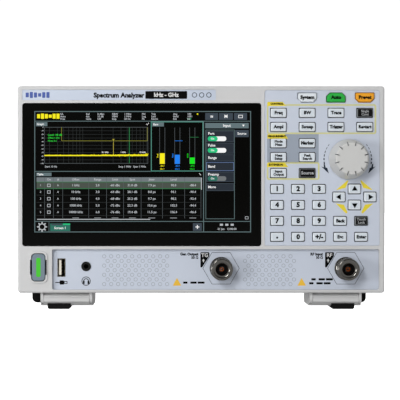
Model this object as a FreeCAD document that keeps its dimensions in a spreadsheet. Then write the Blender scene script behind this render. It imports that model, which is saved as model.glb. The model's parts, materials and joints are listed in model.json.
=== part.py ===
"""Compact bench spectrum analyzer, in millimetres.

The origin is on the table under the middle of the whole instrument. +Z is up, +X is to the right of
someone who faces the screen, and the front looks towards -Y. Depths are measured from the plane of the
bezel's front.
"""
import FreeCAD, Part
import math
import os
import Sketcher

Vector = FreeCAD.Vector
Placement = FreeCAD.Placement
Rotation = FreeCAD.Rotation

DIMENSIONS = {
    # How far joined features sink into each other, and how far cuts run past a surface
    "overlap": 1.0,
    "fit_gap": 0.1,
    "seat_play": 0.05,
    "round_margin": 0.05,
    # Case: a deep rear moulding that plugs into a front bezel
    "case_width": 265.4,
    "case_height": 149.7,
    "case_bottom": 12.3,
    "case_depth": 96.0,
    "front_y": -40.25,
    "corner_radius": 2.2,
    "edge_radius": 1.6,
    "bezel_depth": 18.0,
    "bezel_wall": 2.0,
    "front_wall": 3.5,
    "case_wall": 3.0,
    "tongue_reach": 6.0,
    "tongue_wall": 1.8,
    "tongue_gap": 0.15,
    "tongue_root": 3.0,
    # Display
    "glass_x": -43.0,
    "glass_z": 97.95,
    "glass_width": 172.6,
    "glass_height": 103.3,
    "glass_inset": 0.3,
    "glass_thickness": 1.8,
    "glass_corner": 2.0,
    "glass_gap": 0.2,
    "glass_bevel": 0.25,
    "window_lip": 3.2,
    "lcd_depth": 3.7,
    "lcd_thickness": 6.0,
    # Name strip seat above the display
    "strip_x": -59.4,
    "strip_z": 155.55,
    "strip_width": 140.4,
    "strip_height": 7.9,
    "strip_depth": 0.5,
    # Keypad fascia
    "fascia_x": 87.45,
    "fascia_z": 102.8,
    "fascia_width": 83.1,
    "fascia_height": 112.4,
    "fascia_inset": 0.4,
    "fascia_thickness": 2.0,
    "fascia_corner": 1.4,
    "fascia_gap": 0.1,
    "fascia_lip_side": 1.3,
    "fascia_lip_end": 0.7,
    # Connector fascia
    "ports_x": 10.45,
    "ports_z": 29.3,
    "ports_width": 236.7,
    "ports_height": 29.4,
    "ports_depth": 3.6,
    "ports_thickness": 2.0,
    "ports_corner": 1.5,
    "ports_lap_side": 1.5,
    "ports_plate_z": 30.0,
    "ports_plate_height": 31.0,
    # Keys
    "key_gap": 0.6,
    "key_lap": 0.6,
    "key_travel": 1.0,
    "key_stop_gap": 0.1,
    "key_flange": 1.4,
    "key_end_gap": 0.3,
    "key_stem_width": 3.0,
    "cap_proud": 1.4,
    "cap_corner": 0.9,
    "cap_bevel": 0.55,
    "shield_chamfer": 2.4,
    "shield_hole_chamfer": 2.75,
    "function_key_width": 11.1,
    "function_key_height": 6.2,
    "number_key_width": 8.9,
    "number_key_height": 6.0,
    "arrow_key_width": 8.6,
    "arrow_key_height": 6.6,
    "top_key_width": 13.2,
    "top_key_height": 6.3,
    "function_first_x": 55.85,
    "function_pitch_x": 20.8,
    "top_row_z": 153.7,
    "control_high_z": 142.6,
    "control_low_z": 132.4,
    "measure_high_z": 120.7,
    "measure_low_z": 110.6,
    "extension_z": 99.1,
    "number_first_x": 54.8,
    "number_first_z": 87.6,
    "number_pitch_x": 15.2,
    "number_pitch_z": 11.56,
    "arrow_x": 110.8,
    "arrow_z": 81.8,
    "arrow_reach_x": 11.2,
    "arrow_reach_z": 5.8,
    # Power button and its raised collar
    "power_x": -117.7,
    "power_z": 30.9,
    "power_width": 9.4,
    "power_height": 19.5,
    "power_corner": 2.5,
    "power_gap": 0.45,
    "power_proud": 0.4,
    "power_flange": 1.6,
    "power_lap": 0.8,
    "power_stem": 3.2,
    "collar_width": 13.2,
    "collar_height": 23.0,
    "collar_corner": 4.0,
    "collar_rise": 0.9,
    "collar_top_round": 0.3,
    "collar_notch_width": 12.1,
    "collar_notch_height": 11.0,
    # Tuning knob and encoder
    "knob_x": 106.7,
    "knob_z": 109.1,
    "knob_base_radius": 14.5,
    "knob_face_radius": 11.4,
    "knob_base_depth": -0.2,
    "knob_face_depth": -15.5,
    "knob_rim_round": 1.0,
    "knob_skirt": 1.2,
    "knob_shaft_gap": 0.2,
    "knob_bore_length": 11.0,
    "notch_count": 12,
    "notch_width": 0.9,
    "notch_inner_radius": 9.2,
    "notch_length": 3.4,
    "notch_depth": 1.5,
    "shaft_radius": 3.0,
    "shaft_running_gap": 0.05,
    "shaft_end_depth": 8.0,
    "bush_radius": 4.6,
    "bush_depth": 0.8,
    "bush_hole_radius": 5.0,
    "encoder_width": 13.0,
    "encoder_depth": 3.6,
    # Circuit boards
    "keypad_board_depth": 9.0,
    "keypad_board_margin": 3.0,
    "board_thickness": 1.6,
    "switch_width": 4.0,
    "switch_rise": 2.6,
    "main_board_depth": 46.0,
    "main_board_width": 246.0,
    "main_board_height": 100.0,
    "main_board_z": 100.0,
    "chip_rise": 3.0,
    "power_board_width": 9.0,
    "power_board_height": 16.0,
    "power_switch_width": 5.0,
    "power_switch_rise": 1.0,
    # Test connectors with a 5/8-24 thread
    "generator_port_x": 14.5,
    "input_port_x": 105.0,
    "port_z": 30.0,
    "port_reach": 15.5,
    "port_thread_radius": 7.94,
    "port_flange_radius": 8.3,
    "port_flange": 2.2,
    "port_bore_radius": 4.1,
    "port_bore_depth": 9.5,
    "port_neck_radius": 6.4,
    "port_neck_length": 15.0,
    "port_chamfer": 0.7,
    # USB and headphone sockets
    "usb_x": -101.4,
    "usb_z": 30.5,
    "usb_width": 5.7,
    "usb_height": 13.15,
    "usb_wall": 0.35,
    "usb_length": 14.0,
    "usb_mouth": 12.0,
    "usb_proud": 0.2,
    "usb_tongue_width": 1.84,
    "usb_tongue_height": 11.1,
    "usb_tongue_inset": 1.0,
    "usb_tongue_gap": 0.75,
    "jack_x": -83.5,
    "jack_z": 31.4,
    "jack_radius": 3.5,
    "jack_bore_radius": 1.8,
    "jack_length": 14.0,
    "jack_proud": 0.5,
    "jack_body_radius": 3.0,
    # Screened radio module
    "shield_x": 60.0,
    "shield_z": 40.0,
    "shield_width": 130.0,
    "shield_height": 46.0,
    "shield_depth": 22.0,
    "shield_length": 22.0,
    "shield_wall": 1.5,
    # Fan
    "fan_x": -92.0,
    "fan_z": 105.0,
    "fan_width": 60.0,
    "fan_corner": 3.0,
    "fan_thickness": 15.0,
    "fan_duct_radius": 28.5,
    "fan_blade_radius": 26.8,
    "fan_hub_radius": 12.5,
    "fan_plate": 2.5,
    "fan_axle_radius": 1.5,
    "fan_axle_gap": 0.05,
    "fan_axle_inset": 0.3,
    "fan_front_gap": 0.6,
    "fan_rear_gap": 1.0,
    "fan_blade_count": 7,
    "fan_blade_thickness": 1.2,
    "fan_blade_depth": 8.0,
    "fan_blade_shift": 6.0,
    "fan_strut": 4.0,
    "grille_slot_width": 3.0,
    "grille_slot_inner": 10.0,
    "grille_slot_length": 16.0,
    "grille_slot_count": 14,
    # Vents in the side walls
    "vent_count": 9,
    "vent_width": 3.0,
    "vent_height": 44.0,
    "vent_pitch": 6.0,
    "vent_first_depth": 34.0,
    "vent_z": 96.0,
    # 100 mm mounting holes in the back
    "mount_z": 100.0,
    "mount_spacing": 100.0,
    "mount_hole_radius": 2.0,
    "mount_boss_radius": 5.0,
    "mount_hole_depth": 8.0,
    "mount_boss_floor": 2.0,
    # Rear socket bay
    "bay_x": 30.0,
    "bay_z": 31.0,
    "bay_width": 140.0,
    "bay_height": 26.0,
    "bay_depth": 14.0,
    "bay_wall": 2.0,
    "rear_socket_length": 16.0,
    "lan_x": -20.0,
    "lan_width": 16.0,
    "lan_height": 14.0,
    "lan_mouth_width": 11.8,
    "lan_mouth_height": 8.2,
    "lan_mouth_depth": 12.0,
    "usb_b_x": 8.0,
    "usb_b_width": 12.0,
    "usb_b_height": 11.0,
    "usb_b_mouth": 8.2,
    "usb_b_mouth_depth": 9.0,
    "usb_b_tongue_inset": 1.0,
    "usb_b_tongue_width": 5.6,
    "usb_b_tongue_height": 3.2,
    "dc_x": 34.0,
    "dc_radius": 5.0,
    "dc_bore_radius": 3.1,
    "dc_pin_radius": 1.0,
    "dc_bore_depth": 10.0,
    "dc_pin_inset": 1.5,
    "bnc_first_x": 58.0,
    "bnc_pitch": 24.0,
    "bnc_radius": 4.8,
    "bnc_bore_radius": 4.0,
    "bnc_base_radius": 7.0,
    "bnc_base_length": 1.5,
    "bnc_reach": 11.0,
    "bnc_bore_depth": 8.0,
    "bnc_insulator_radius": 2.4,
    "bnc_insulator_inset": 2.0,
    "bnc_lug_rise": 1.1,
    "bnc_lug_width": 2.0,
    "bnc_lug_inset": 2.5,
    # Tilt legs, turning on moulded pintles in lugs under the bezel
    "leg_x": 98.0,
    "leg_width": 38.0,
    "leg_pivot_depth": 9.0,
    "leg_pivot_z": 8.0,
    "leg_barrel_radius": 4.0,
    "leg_length": 34.0,
    "leg_under_z": 2.2,
    "leg_nose_z": 5.7,
    "leg_slant": 7.0,
    "leg_tip_rise": 4.0,
    "leg_tip_length": 2.0,
    "leg_top_gap": 0.3,
    "leg_rib_count": 3,
    "leg_rib_pitch": 1.15,
    "leg_rib_height": 0.4,
    "leg_rib_depth": 0.45,
    "leg_rib_start": 0.6,
    "lug_width": 2.0,
    "lug_side_gap": 0.2,
    "pintle_radius": 1.8,
    "pintle_gap": 0.06,
    "pintle_inset": 0.2,
    "lug_swing_gap": 0.3,
    "lug_radius": 3.8,
    "pad_offset": 5.5,
    "pad_width": 16.8,
    "pad_start": -1.2,
    "pad_length": 24.0,
    "pad_top_z": 4.6,
    "pad_corner": 1.6,
    # Fixed rear feet
    "rear_foot_x": 114.0,
    "rear_foot_width": 30.0,
    "rear_foot_depth": 60.0,
    "rear_foot_length": 18.0,
    "rear_foot_corner": 4.0,
    # Case screws through the bezel's sides
    "screw_radius": 1.5,
    "screw_head_radius": 2.7,
    "screw_head_depth": 1.4,
    "screw_length": 6.0,
    "screw_bite_gap": 0.02,
    "drive_width": 0.9,
    "drive_length": 3.4,
    "drive_depth": 1.2,
    "screw_depth": 14.5,
    "screw_low_z": 56.0,
    "screw_high_z": 132.0,
    "screw_boss_width": 9.0,
    "screw_boss_depth": 5.0,
    "screw_boss_reach": 5.5,
}

CASE_MIDDLE = "(dims.case_bottom + dims.case_height / 2)"
KEY_FACE_DEPTH = "(dims.fascia_inset + dims.fascia_thickness + dims.key_stop_gap)"
SWITCH_SPACE = "(dims.switch_rise + dims.key_travel + dims.key_end_gap)"
PLANES = {"front": "XZ_Plane", "side": "YZ_Plane", "top": "XY_Plane"}
# Width, left edge and lower edge of each square chip on the main board
MAIN_CHIPS = (("22", "-40", "96"), ("16", "8", "100"), ("16", "8", "72"), ("12", "60", "110"))

doc = FreeCAD.newDocument("spectrum_analyzer")
sub_parts = []


# Helpers

def make_sheet():
    """Puts the driving dimensions into a spreadsheet, one named cell each."""
    sheet = doc.addObject("Spreadsheet::Sheet", "dims")
    for row, (alias, value) in enumerate(DIMENSIONS.items(), start=1):
        sheet.set(f"A{row}", alias)
        sheet.set(f"B{row}", str(value))
        sheet.setAlias(f"B{row}", alias)
    doc.recompute()


def bind(item, **expressions):
    """Binds properties to expressions; a double underscore in a keyword stands for a dot."""
    for name, expression in expressions.items():
        item.setExpression(name.replace("__", "."), expression)


def place(item, x, y, z):
    bind(item, Placement__Base__x=x, Placement__Base__y=y, Placement__Base__z=z)


def new_body(label, x="0", y="dims.front_y", z="0"):
    body = doc.addObject("PartDesign::Body", label)
    body.Label = label
    place(body, x, y, z)
    return body


def keep(item, label):
    """Marks an object as a sub-part that is written out under its label."""
    item.Label = label
    sub_parts.append(item)
    return item


def new_sketch(body, name, plane="front", offset="0", across="0", up="0", turn=0.0):
    """A sketch on one of the body's origin planes; offset runs along +Y, +X or +Z."""
    sketch = body.newObject("Sketcher::SketchObject", name)
    role = PLANES[plane]
    origin_plane = next(item for item in body.Origin.OriginFeatures if item.Role == role)
    sketch.AttachmentSupport = [(origin_plane, "")]
    sketch.MapMode = "FlatFace"
    sketch.AttachmentOffset = Placement(Vector(), Rotation(Vector(0, 0, 1), turn))
    sign = "-" if plane == "front" else ""
    bind(sketch, AttachmentOffset__Base__x=across, AttachmentOffset__Base__y=up)
    bind(sketch, AttachmentOffset__Base__z=f"{sign}({offset})")
    return sketch


def dimension(sketch, name, rule, ends, value):
    index = sketch.addConstraint(Sketcher.Constraint(rule, *ends, 1.0))
    sketch.renameConstraint(index, name)
    sketch.setExpression("Constraints." + name, value)


def rectangle(sketch, tag, width, height, across="0", up="0"):
    """A rectangle centred on (across, up) in the sketch's own axes."""
    first = sketch.GeometryCount
    corners = [Vector(-5, -5, 0), Vector(5, -5, 0), Vector(5, 5, 0), Vector(-5, 5, 0)]
    lines = [Part.LineSegment(corners[i], corners[(i + 1) % 4]) for i in range(4)]
    sketch.addGeometry(lines, False)
    rules = [Sketcher.Constraint("Coincident", first + i, 2, first + (i + 1) % 4, 1) for i in range(4)]
    rules += [Sketcher.Constraint("Horizontal", first + i) for i in (0, 2)]
    rules += [Sketcher.Constraint("Vertical", first + i) for i in (1, 3)]
    sketch.addConstraint(rules)
    dimension(sketch, tag + "_width", "DistanceX", (first, 1, first, 2), width)
    dimension(sketch, tag + "_height", "DistanceY", (first + 1, 1, first + 1, 2), height)
    dimension(sketch, tag + "_left", "DistanceX", (-1, 1, first, 1), f"{across} - ({width}) / 2")
    dimension(sketch, tag + "_low", "DistanceY", (-1, 1, first, 1), f"{up} - ({height}) / 2")


def circle(sketch, tag, radius, across="0", up="0"):
    index = sketch.addGeometry(Part.Circle(Vector(3, 4, 0), Vector(0, 0, 1), 5), False)
    dimension(sketch, tag + "_radius", "Radius", (index,), radius)
    dimension(sketch, tag + "_across", "DistanceX", (-1, 1, index, 3), across)
    dimension(sketch, tag + "_up", "DistanceY", (-1, 1, index, 3), up)


def outline(sketch, tag, points):
    """A closed outline of straight lines through (across, up) points."""
    first = sketch.GeometryCount
    count = len(points)
    turns = [2 * math.pi * i / count for i in range(count)]
    ring = [Vector(8 * math.cos(turn) + 20, 8 * math.sin(turn), 0) for turn in turns]
    sketch.addGeometry([Part.LineSegment(ring[i], ring[(i + 1) % count]) for i in range(count)], False)
    joins = [
        Sketcher.Constraint("Coincident", first + i, 2, first + (i + 1) % count, 1) for i in range(count)
    ]
    sketch.addConstraint(joins)
    for i, (across, up) in enumerate(points):
        dimension(sketch, f"{tag}_across_{i}", "DistanceX", (-1, 1, first + i, 1), across)
        dimension(sketch, f"{tag}_up_{i}", "DistanceY", (-1, 1, first + i, 1), up)


def solid_volume(feature):
    return feature.Shape.Volume if feature and not feature.Shape.isNull() else 0.0


def pad(body, sketch, length, backwards=True):
    """Pads a sketch; backwards pads a front sketch towards +Y."""
    feature = body.newObject("PartDesign::Pad", sketch.Name + "_pad")
    feature.Profile = sketch
    bind(feature, Length=length)
    feature.Reversed = backwards
    doc.recompute()
    return feature


def pocket(body, sketch, length, forwards=False, both_ways=False):
    """Pockets a front sketch towards +Y, or towards -Y when forwards; it must remove material."""
    before = solid_volume(body.Tip)
    feature = body.newObject("PartDesign::Pocket", sketch.Name + "_pocket")
    feature.Profile = sketch
    bind(feature, Length=length)
    feature.Reversed = forwards
    feature.Midplane = both_ways
    doc.recompute()
    if solid_volume(feature) >= before - 1e-6:
        raise RuntimeError(f"{feature.Label} cuts nothing")
    return feature


def revolve(body, sketch):
    """Turns a profile about the sketch's vertical axis."""
    feature = body.newObject("PartDesign::Revolution", sketch.Name + "_turn")
    feature.Profile = sketch
    feature.ReferenceAxis = (sketch, ["V_Axis"])
    feature.Angle = 360.0
    doc.recompute()
    return feature


def ring_of(body, feature, sketch, count):
    """Repeats a feature about the normal through the sketch's origin."""
    pattern = body.newObject("PartDesign::PolarPattern", feature.Name + "_ring")
    pattern.Originals = [feature]
    pattern.Axis = (sketch, ["N_Axis"])
    pattern.Angle = 360.0
    bind(pattern, Occurrences=count)
    body.Tip = pattern
    doc.recompute()
    return pattern


def row_of(body, feature, sketch, axis, length, count):
    """Repeats a feature in a straight row along one of the sketch's axes."""
    pattern = body.newObject("PartDesign::LinearPattern", feature.Name + "_row")
    pattern.Originals = [feature]
    pattern.Direction = (sketch, [axis])
    bind(pattern, Length=length, Occurrences=count)
    body.Tip = pattern
    doc.recompute()
    return pattern


def sketch_normal(sketch):
    return sketch.Placement.Rotation.multVec(Vector(0, 0, 1))


def corner_edges(feature, sketch, wanted=lambda point: True):
    """The straight edges that a sketch's corners draw along its normal."""
    normal = sketch_normal(sketch)
    points = [line.StartPoint for line in sketch.Geometry if hasattr(line, "StartPoint")]
    corners = [sketch.Placement.multVec(point) for point in points if wanted(point)]
    names = []
    for number, edge in enumerate(feature.Shape.Edges, start=1):
        if len(edge.Vertexes) != 2:
            continue
        start, end = (vertex.Point for vertex in edge.Vertexes)
        if (end - start).cross(normal).Length > 1e-5 or (end - start).Length < 1e-3:
            continue
        if any((start - corner).cross(normal).Length < 1e-4 for corner in corners):
            names.append(f"Edge{number}")
    return names


def edges_in_plane(feature, sketch, shift=0.0):
    """The edges that lie in the sketch's plane, or in one shifted along its normal."""
    normal = sketch_normal(sketch)
    origin = sketch.Placement.Base + normal * shift
    names = []
    for number, edge in enumerate(feature.Shape.Edges, start=1):
        points = [edge.valueAt(edge.FirstParameter), edge.valueAt(edge.LastParameter)]
        points.append(edge.valueAt((edge.FirstParameter + edge.LastParameter) / 2))
        if all(abs((point - origin).dot(normal)) < 1e-4 for point in points):
            names.append(f"Edge{number}")
    return names


def dress(body, kind, feature, edges, size):
    """Rounds (Fillet) or bevels (Chamfer) the named edges of a feature."""
    if not edges:
        raise RuntimeError(f"{feature.Label} has no edges to dress")
    dressed = body.newObject("PartDesign::" + kind, f"{feature.Name}_{kind.lower()}")
    dressed.Base = (feature, edges)
    bind(dressed, **{"Radius" if kind == "Fillet" else "Size": size})
    doc.recompute()
    if "Invalid" in dressed.State or dressed.Shape.isNull():
        raise RuntimeError(f"{dressed.Label} failed")
    return dressed


def block(name, size, corner):
    """A Part box with a given lowest corner; sizes and places are expressions."""
    item = doc.addObject("Part::Box", name)
    bind(item, Length=size[0], Width=size[1], Height=size[2])
    place(item, *corner)
    return item


def rod_y(name, radius, length, x, y, z):
    """A cylinder along +Y from y."""
    item = doc.addObject("Part::Cylinder", name)
    item.Placement = Placement(Vector(), Rotation(Vector(1, 0, 0), -90))
    bind(item, Radius=radius, Height=length)
    place(item, x, y, z)
    return item


def boolean(kind, name, base, tools):
    """Cuts the tools from the base, one after another, or fuses them all."""
    if kind == "Fuse":
        item = doc.addObject("Part::MultiFuse", name)
        item.Shapes = [base, *tools]
        return item
    item = base
    for number, tool in enumerate(tools):
        cut = doc.addObject("Part::Cut", f"{name}_{number}")
        cut.Base = item
        cut.Tool = tool
        item = cut
    return item


def group(label, members):
    """Several separate solids that share one node."""
    item = doc.addObject("Part::Compound", label)
    item.Links = members
    return keep(item, label)


# Where the keys are

def key_layout():
    """Every keypad key: its name, kind and the expressions of its centre."""
    def column(number):
        return f"dims.function_first_x + {number} * dims.function_pitch_x"

    keys = []
    for number, name in enumerate(("system", "auto", "preset"), start=1):
        keys.append((name, "top_up" if name == "auto" else "top_down", column(number), "dims.top_row_z"))
    rows = {
        "dims.control_high_z": ("frequency", "bandwidth", "trace", "single_continue"),
        "dims.control_low_z": ("amplitude", "sweep", "trigger", "restart"),
        "dims.measure_high_z": ("mode_measure", "marker"),
        "dims.measure_low_z": ("measure_setup", "peak_search"),
        "dims.extension_z": ("input_output", "source"),
    }
    for height, names in rows.items():
        keys += [(name, "function", column(number), height) for number, name in enumerate(names)]
    numbers = (
        ("one", "two", "three"),
        ("four", "five", "six"),
        ("seven", "eight", "nine", "back", "touch_lock"),
        ("point", "zero", "sign", "escape", "enter"),
    )
    for row, names in enumerate(numbers):
        for number, name in enumerate(names):
            across = f"dims.number_first_x + {number} * dims.number_pitch_x"
            up = f"dims.number_first_z - {row} * dims.number_pitch_z"
            keys.append((name, "number", across, up))
    keys.append(("up", "arrow", "dims.arrow_x", "dims.arrow_z + dims.arrow_reach_z"))
    keys.append(("down", "arrow", "dims.arrow_x", "dims.arrow_z - dims.arrow_reach_z"))
    keys.append(("left", "arrow", "dims.arrow_x - dims.arrow_reach_x", "dims.arrow_z"))
    keys.append(("right", "arrow", "dims.arrow_x + dims.arrow_reach_x", "dims.arrow_z"))
    return keys


def cap_size(kind):
    family = kind.split("_")[0]
    return f"dims.{family}_key_width", f"dims.{family}_key_height"


def shield_corner(point):
    """Whether a corner belongs to the bevelled side of a key in the top row; the middle key is inverted."""
    row = DIMENSIONS["top_row_z"]
    if point.y < row - DIMENSIONS["top_key_height"]:
        return False
    middle = DIMENSIONS["function_first_x"] + 2 * DIMENSIONS["function_pitch_x"]
    inverted = abs(point.x - middle) < DIMENSIONS["top_key_width"]
    return (point.y > row) == inverted


# Sub-parts

def make_front_bezel():
    """Front moulding: display window, keypad and connector openings, power collar and leg lugs."""
    body = new_body("front_bezel")
    outer = new_sketch(body, "bezel_outline")
    rectangle(outer, "outer", "dims.case_width", "dims.case_height", up=CASE_MIDDLE)
    shell = pad(body, outer, "dims.bezel_depth")
    shell = dress(body, "Fillet", shell, corner_edges(shell, outer), "dims.corner_radius")
    dress(body, "Fillet", shell, edges_in_plane(shell, outer), "dims.edge_radius")

    hollow = new_sketch(body, "bezel_hollow", offset="dims.front_wall")
    rectangle(
        hollow, "hollow", "dims.case_width - 2 * dims.bezel_wall",
        "dims.case_height - 2 * dims.bezel_wall", up=CASE_MIDDLE,
    )
    pocket(body, hollow, "dims.bezel_depth - dims.front_wall")

    seat = new_sketch(body, "glass_seat")
    rectangle(
        seat, "seat", "dims.glass_width + 2 * dims.glass_gap", "dims.glass_height + 2 * dims.glass_gap",
        "dims.glass_x", "dims.glass_z",
    )
    seat_cut = pocket(body, seat, "dims.glass_inset + dims.glass_thickness")
    dress(body, "Fillet", seat_cut, corner_edges(seat_cut, seat), "dims.glass_corner + dims.glass_gap")
    window = new_sketch(body, "window")
    rectangle(
        window, "window", "dims.glass_width - 2 * dims.window_lip",
        "dims.glass_height - 2 * dims.window_lip", "dims.glass_x", "dims.glass_z",
    )
    pocket(body, window, "dims.front_wall")

    strip = new_sketch(body, "strip_seat")
    rectangle(strip, "strip", "dims.strip_width", "dims.strip_height", "dims.strip_x", "dims.strip_z")
    strip_cut = pocket(body, strip, "dims.strip_depth")
    dress(body, "Fillet", strip_cut, corner_edges(strip_cut, strip), "dims.cap_corner")

    keypad = new_sketch(body, "keypad_seat")
    rectangle(
        keypad, "seat", "dims.fascia_width + 2 * dims.fascia_gap",
        "dims.fascia_height + 2 * dims.fascia_gap", "dims.fascia_x", "dims.fascia_z",
    )
    keypad_cut = pocket(body, keypad, "dims.fascia_inset + dims.fascia_thickness")
    keypad_corners = corner_edges(keypad_cut, keypad)
    dress(body, "Fillet", keypad_cut, keypad_corners, "dims.fascia_corner + dims.fascia_gap")
    opening = new_sketch(body, "keypad_opening")
    rectangle(
        opening, "opening", "dims.fascia_width - 2 * dims.fascia_lip_side",
        "dims.fascia_height - 2 * dims.fascia_lip_end", "dims.fascia_x", "dims.fascia_z",
    )
    pocket(body, opening, "dims.front_wall")

    ports = new_sketch(body, "ports_opening")
    rectangle(ports, "ports", "dims.ports_width", "dims.ports_height", "dims.ports_x", "dims.ports_z")
    ports_cut = pocket(body, ports, "dims.front_wall")
    dress(body, "Fillet", ports_cut, corner_edges(ports_cut, ports), "dims.ports_corner")

    add_power_collar(body)
    for side in (-1, 1):
        add_leg_lugs(body, side)
    add_screw_holes(body)
    keep(body, "front_bezel")


def add_power_collar(body):
    """Raised collar round the power button, with a wider opening along the middle of its long sides."""
    collar = new_sketch(body, "collar", offset="-dims.collar_rise")
    rectangle(
        collar, "collar", "dims.collar_width", "dims.collar_height", "dims.power_x", "dims.power_z"
    )
    ring = pad(body, collar, "dims.collar_rise + dims.overlap")
    dress(body, "Fillet", ring, corner_edges(ring, collar), "dims.collar_corner")
    hole = new_sketch(body, "power_hole", offset="-dims.collar_rise")
    rectangle(
        hole, "hole", "dims.power_width + 2 * dims.power_gap",
        "dims.power_height + 2 * dims.power_gap", "dims.power_x", "dims.power_z",
    )
    hole_cut = pocket(body, hole, "dims.collar_rise + dims.front_wall")
    ring = dress(
        body, "Fillet", hole_cut, corner_edges(hole_cut, hole), "dims.power_corner + dims.power_gap"
    )
    dress(body, "Fillet", ring, edges_in_plane(ring, collar), "dims.collar_top_round")
    notch = new_sketch(body, "collar_notch", offset="-dims.collar_rise")
    rectangle(
        notch, "notch", "dims.collar_notch_width", "dims.collar_notch_height", "dims.power_x",
        "dims.power_z",
    )
    pocket(body, notch, "dims.collar_rise + dims.front_wall")


def add_leg_lugs(body, side):
    """Two lugs under the bezel, one at each end of a leg, bored for its pintles."""
    from_middle = "(dims.leg_width / 2 - dims.lug_side_gap - dims.lug_width / 2)"
    for end in (-1, 1):
        centre = f"{side} * dims.leg_x + {end} * {from_middle}"
        lug = new_sketch(body, "lug", plane="side", offset=f"{centre} - dims.lug_width / 2")
        rectangle(
            lug, "lug", "2 * dims.lug_radius",
            "dims.case_bottom + dims.overlap - dims.leg_pivot_z + dims.lug_radius",
            "dims.leg_pivot_depth",
            "(dims.case_bottom + dims.overlap + dims.leg_pivot_z - dims.lug_radius) / 2",
        )
        lug_pad = pad(body, lug, "dims.lug_width", backwards=False)
        low = corner_edges(lug_pad, lug, wanted=lambda point: point.y < DIMENSIONS["leg_pivot_z"])
        dress(body, "Fillet", lug_pad, low, "dims.lug_radius - dims.round_margin")
        bore = new_sketch(body, "lug_bore", plane="side", offset=centre)
        circle(
            bore, "bore", "dims.pintle_radius + dims.pintle_gap", "dims.leg_pivot_depth",
            "dims.leg_pivot_z",
        )
        pocket(body, bore, "dims.lug_width + dims.overlap", both_ways=True)


def add_screw_holes(body):
    """Countersunk holes through both side walls."""
    for height in ("dims.screw_low_z", "dims.screw_high_z"):
        hole = new_sketch(body, "screw_hole", plane="side")
        circle(hole, "hole", "dims.screw_radius + dims.fit_gap", "dims.screw_depth", height)
        pocket(body, hole, "dims.case_width + 2 * dims.overlap", both_ways=True)
        for side in (-1, 1):
            sink = new_sketch(body, "screw_sink", plane="side", offset=f"{side} * dims.case_width / 2")
            circle(sink, "sink", "dims.screw_head_radius + dims.fit_gap", "dims.screw_depth", height)
            pocket(body, sink, "2 * dims.screw_head_depth", both_ways=True)


def make_rear_case():
    """Deep rear moulding: tongue, vents, fan grille, socket bay and mounting bosses."""
    body = new_body("rear_case")
    outer = new_sketch(body, "case_outline", offset="dims.bezel_depth")
    rectangle(outer, "outer", "dims.case_width", "dims.case_height", up=CASE_MIDDLE)
    shell = pad(body, outer, "dims.case_depth - dims.bezel_depth")
    shell = dress(body, "Fillet", shell, corner_edges(shell, outer), "dims.corner_radius")
    rear = -(DIMENSIONS["case_depth"] - DIMENSIONS["bezel_depth"])
    dress(body, "Fillet", shell, edges_in_plane(shell, outer, shift=rear), "dims.edge_radius")

    inset = "2 * (dims.bezel_wall + dims.tongue_gap)"
    tongue = new_sketch(body, "tongue", offset="dims.bezel_depth - dims.tongue_reach")
    rectangle(
        tongue, "tongue", f"dims.case_width - {inset}", f"dims.case_height - {inset}", up=CASE_MIDDLE
    )
    pad(body, tongue, "dims.tongue_reach + dims.overlap")
    inner = f"{inset} - 2 * dims.tongue_wall"
    throat = new_sketch(body, "throat", offset="dims.bezel_depth - dims.tongue_reach")
    rectangle(
        throat, "throat", f"dims.case_width - {inner}", f"dims.case_height - {inner}", up=CASE_MIDDLE
    )
    pocket(body, throat, "dims.tongue_reach + dims.tongue_root")
    hollow = new_sketch(body, "case_hollow", offset="dims.bezel_depth + dims.tongue_root")
    rectangle(
        hollow, "hollow", "dims.case_width - 2 * dims.case_wall",
        "dims.case_height - 2 * dims.case_wall", up=CASE_MIDDLE,
    )
    pocket(body, hollow, "dims.case_depth - dims.bezel_depth - dims.tongue_root - dims.case_wall")

    bay_box = new_sketch(body, "bay_box", offset="dims.case_depth - dims.bay_depth - dims.bay_wall")
    rectangle(
        bay_box, "bay", "dims.bay_width + 2 * dims.bay_wall", "dims.bay_height + 2 * dims.bay_wall",
        "dims.bay_x", "dims.bay_z",
    )
    pad(body, bay_box, "dims.bay_depth + dims.bay_wall - dims.overlap")
    bay = new_sketch(body, "bay_hollow", offset="dims.case_depth")
    rectangle(bay, "bay", "dims.bay_width", "dims.bay_height", "dims.bay_x", "dims.bay_z")
    bay_cut = pocket(body, bay, "dims.bay_depth", forwards=True)
    dress(body, "Fillet", bay_cut, corner_edges(bay_cut, bay), "dims.corner_radius")
    add_socket_holes(body)
    add_mount_bosses(body)
    add_vents(body)
    add_screw_bosses(body)
    keep(body, "rear_case")


def add_socket_holes(body):
    floor = "dims.case_depth - dims.bay_depth - dims.bay_wall"
    holes = new_sketch(body, "socket_holes", offset=floor)
    gap = "2 * dims.fit_gap"
    rectangle(
        holes, "lan", f"dims.lan_width + {gap}", f"dims.lan_height + {gap}", "dims.lan_x", "dims.bay_z"
    )
    rectangle(
        holes, "usb", f"dims.usb_b_width + {gap}", f"dims.usb_b_height + {gap}", "dims.usb_b_x",
        "dims.bay_z",
    )
    circle(holes, "power", "dims.dc_radius + dims.fit_gap", "dims.dc_x", "dims.bay_z")
    for number in range(2):
        across = f"dims.bnc_first_x + {number} * dims.bnc_pitch"
        circle(holes, f"bnc_{number}", "dims.bnc_radius + dims.fit_gap", across, "dims.bay_z")
    pocket(body, holes, "dims.bay_wall")


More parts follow.
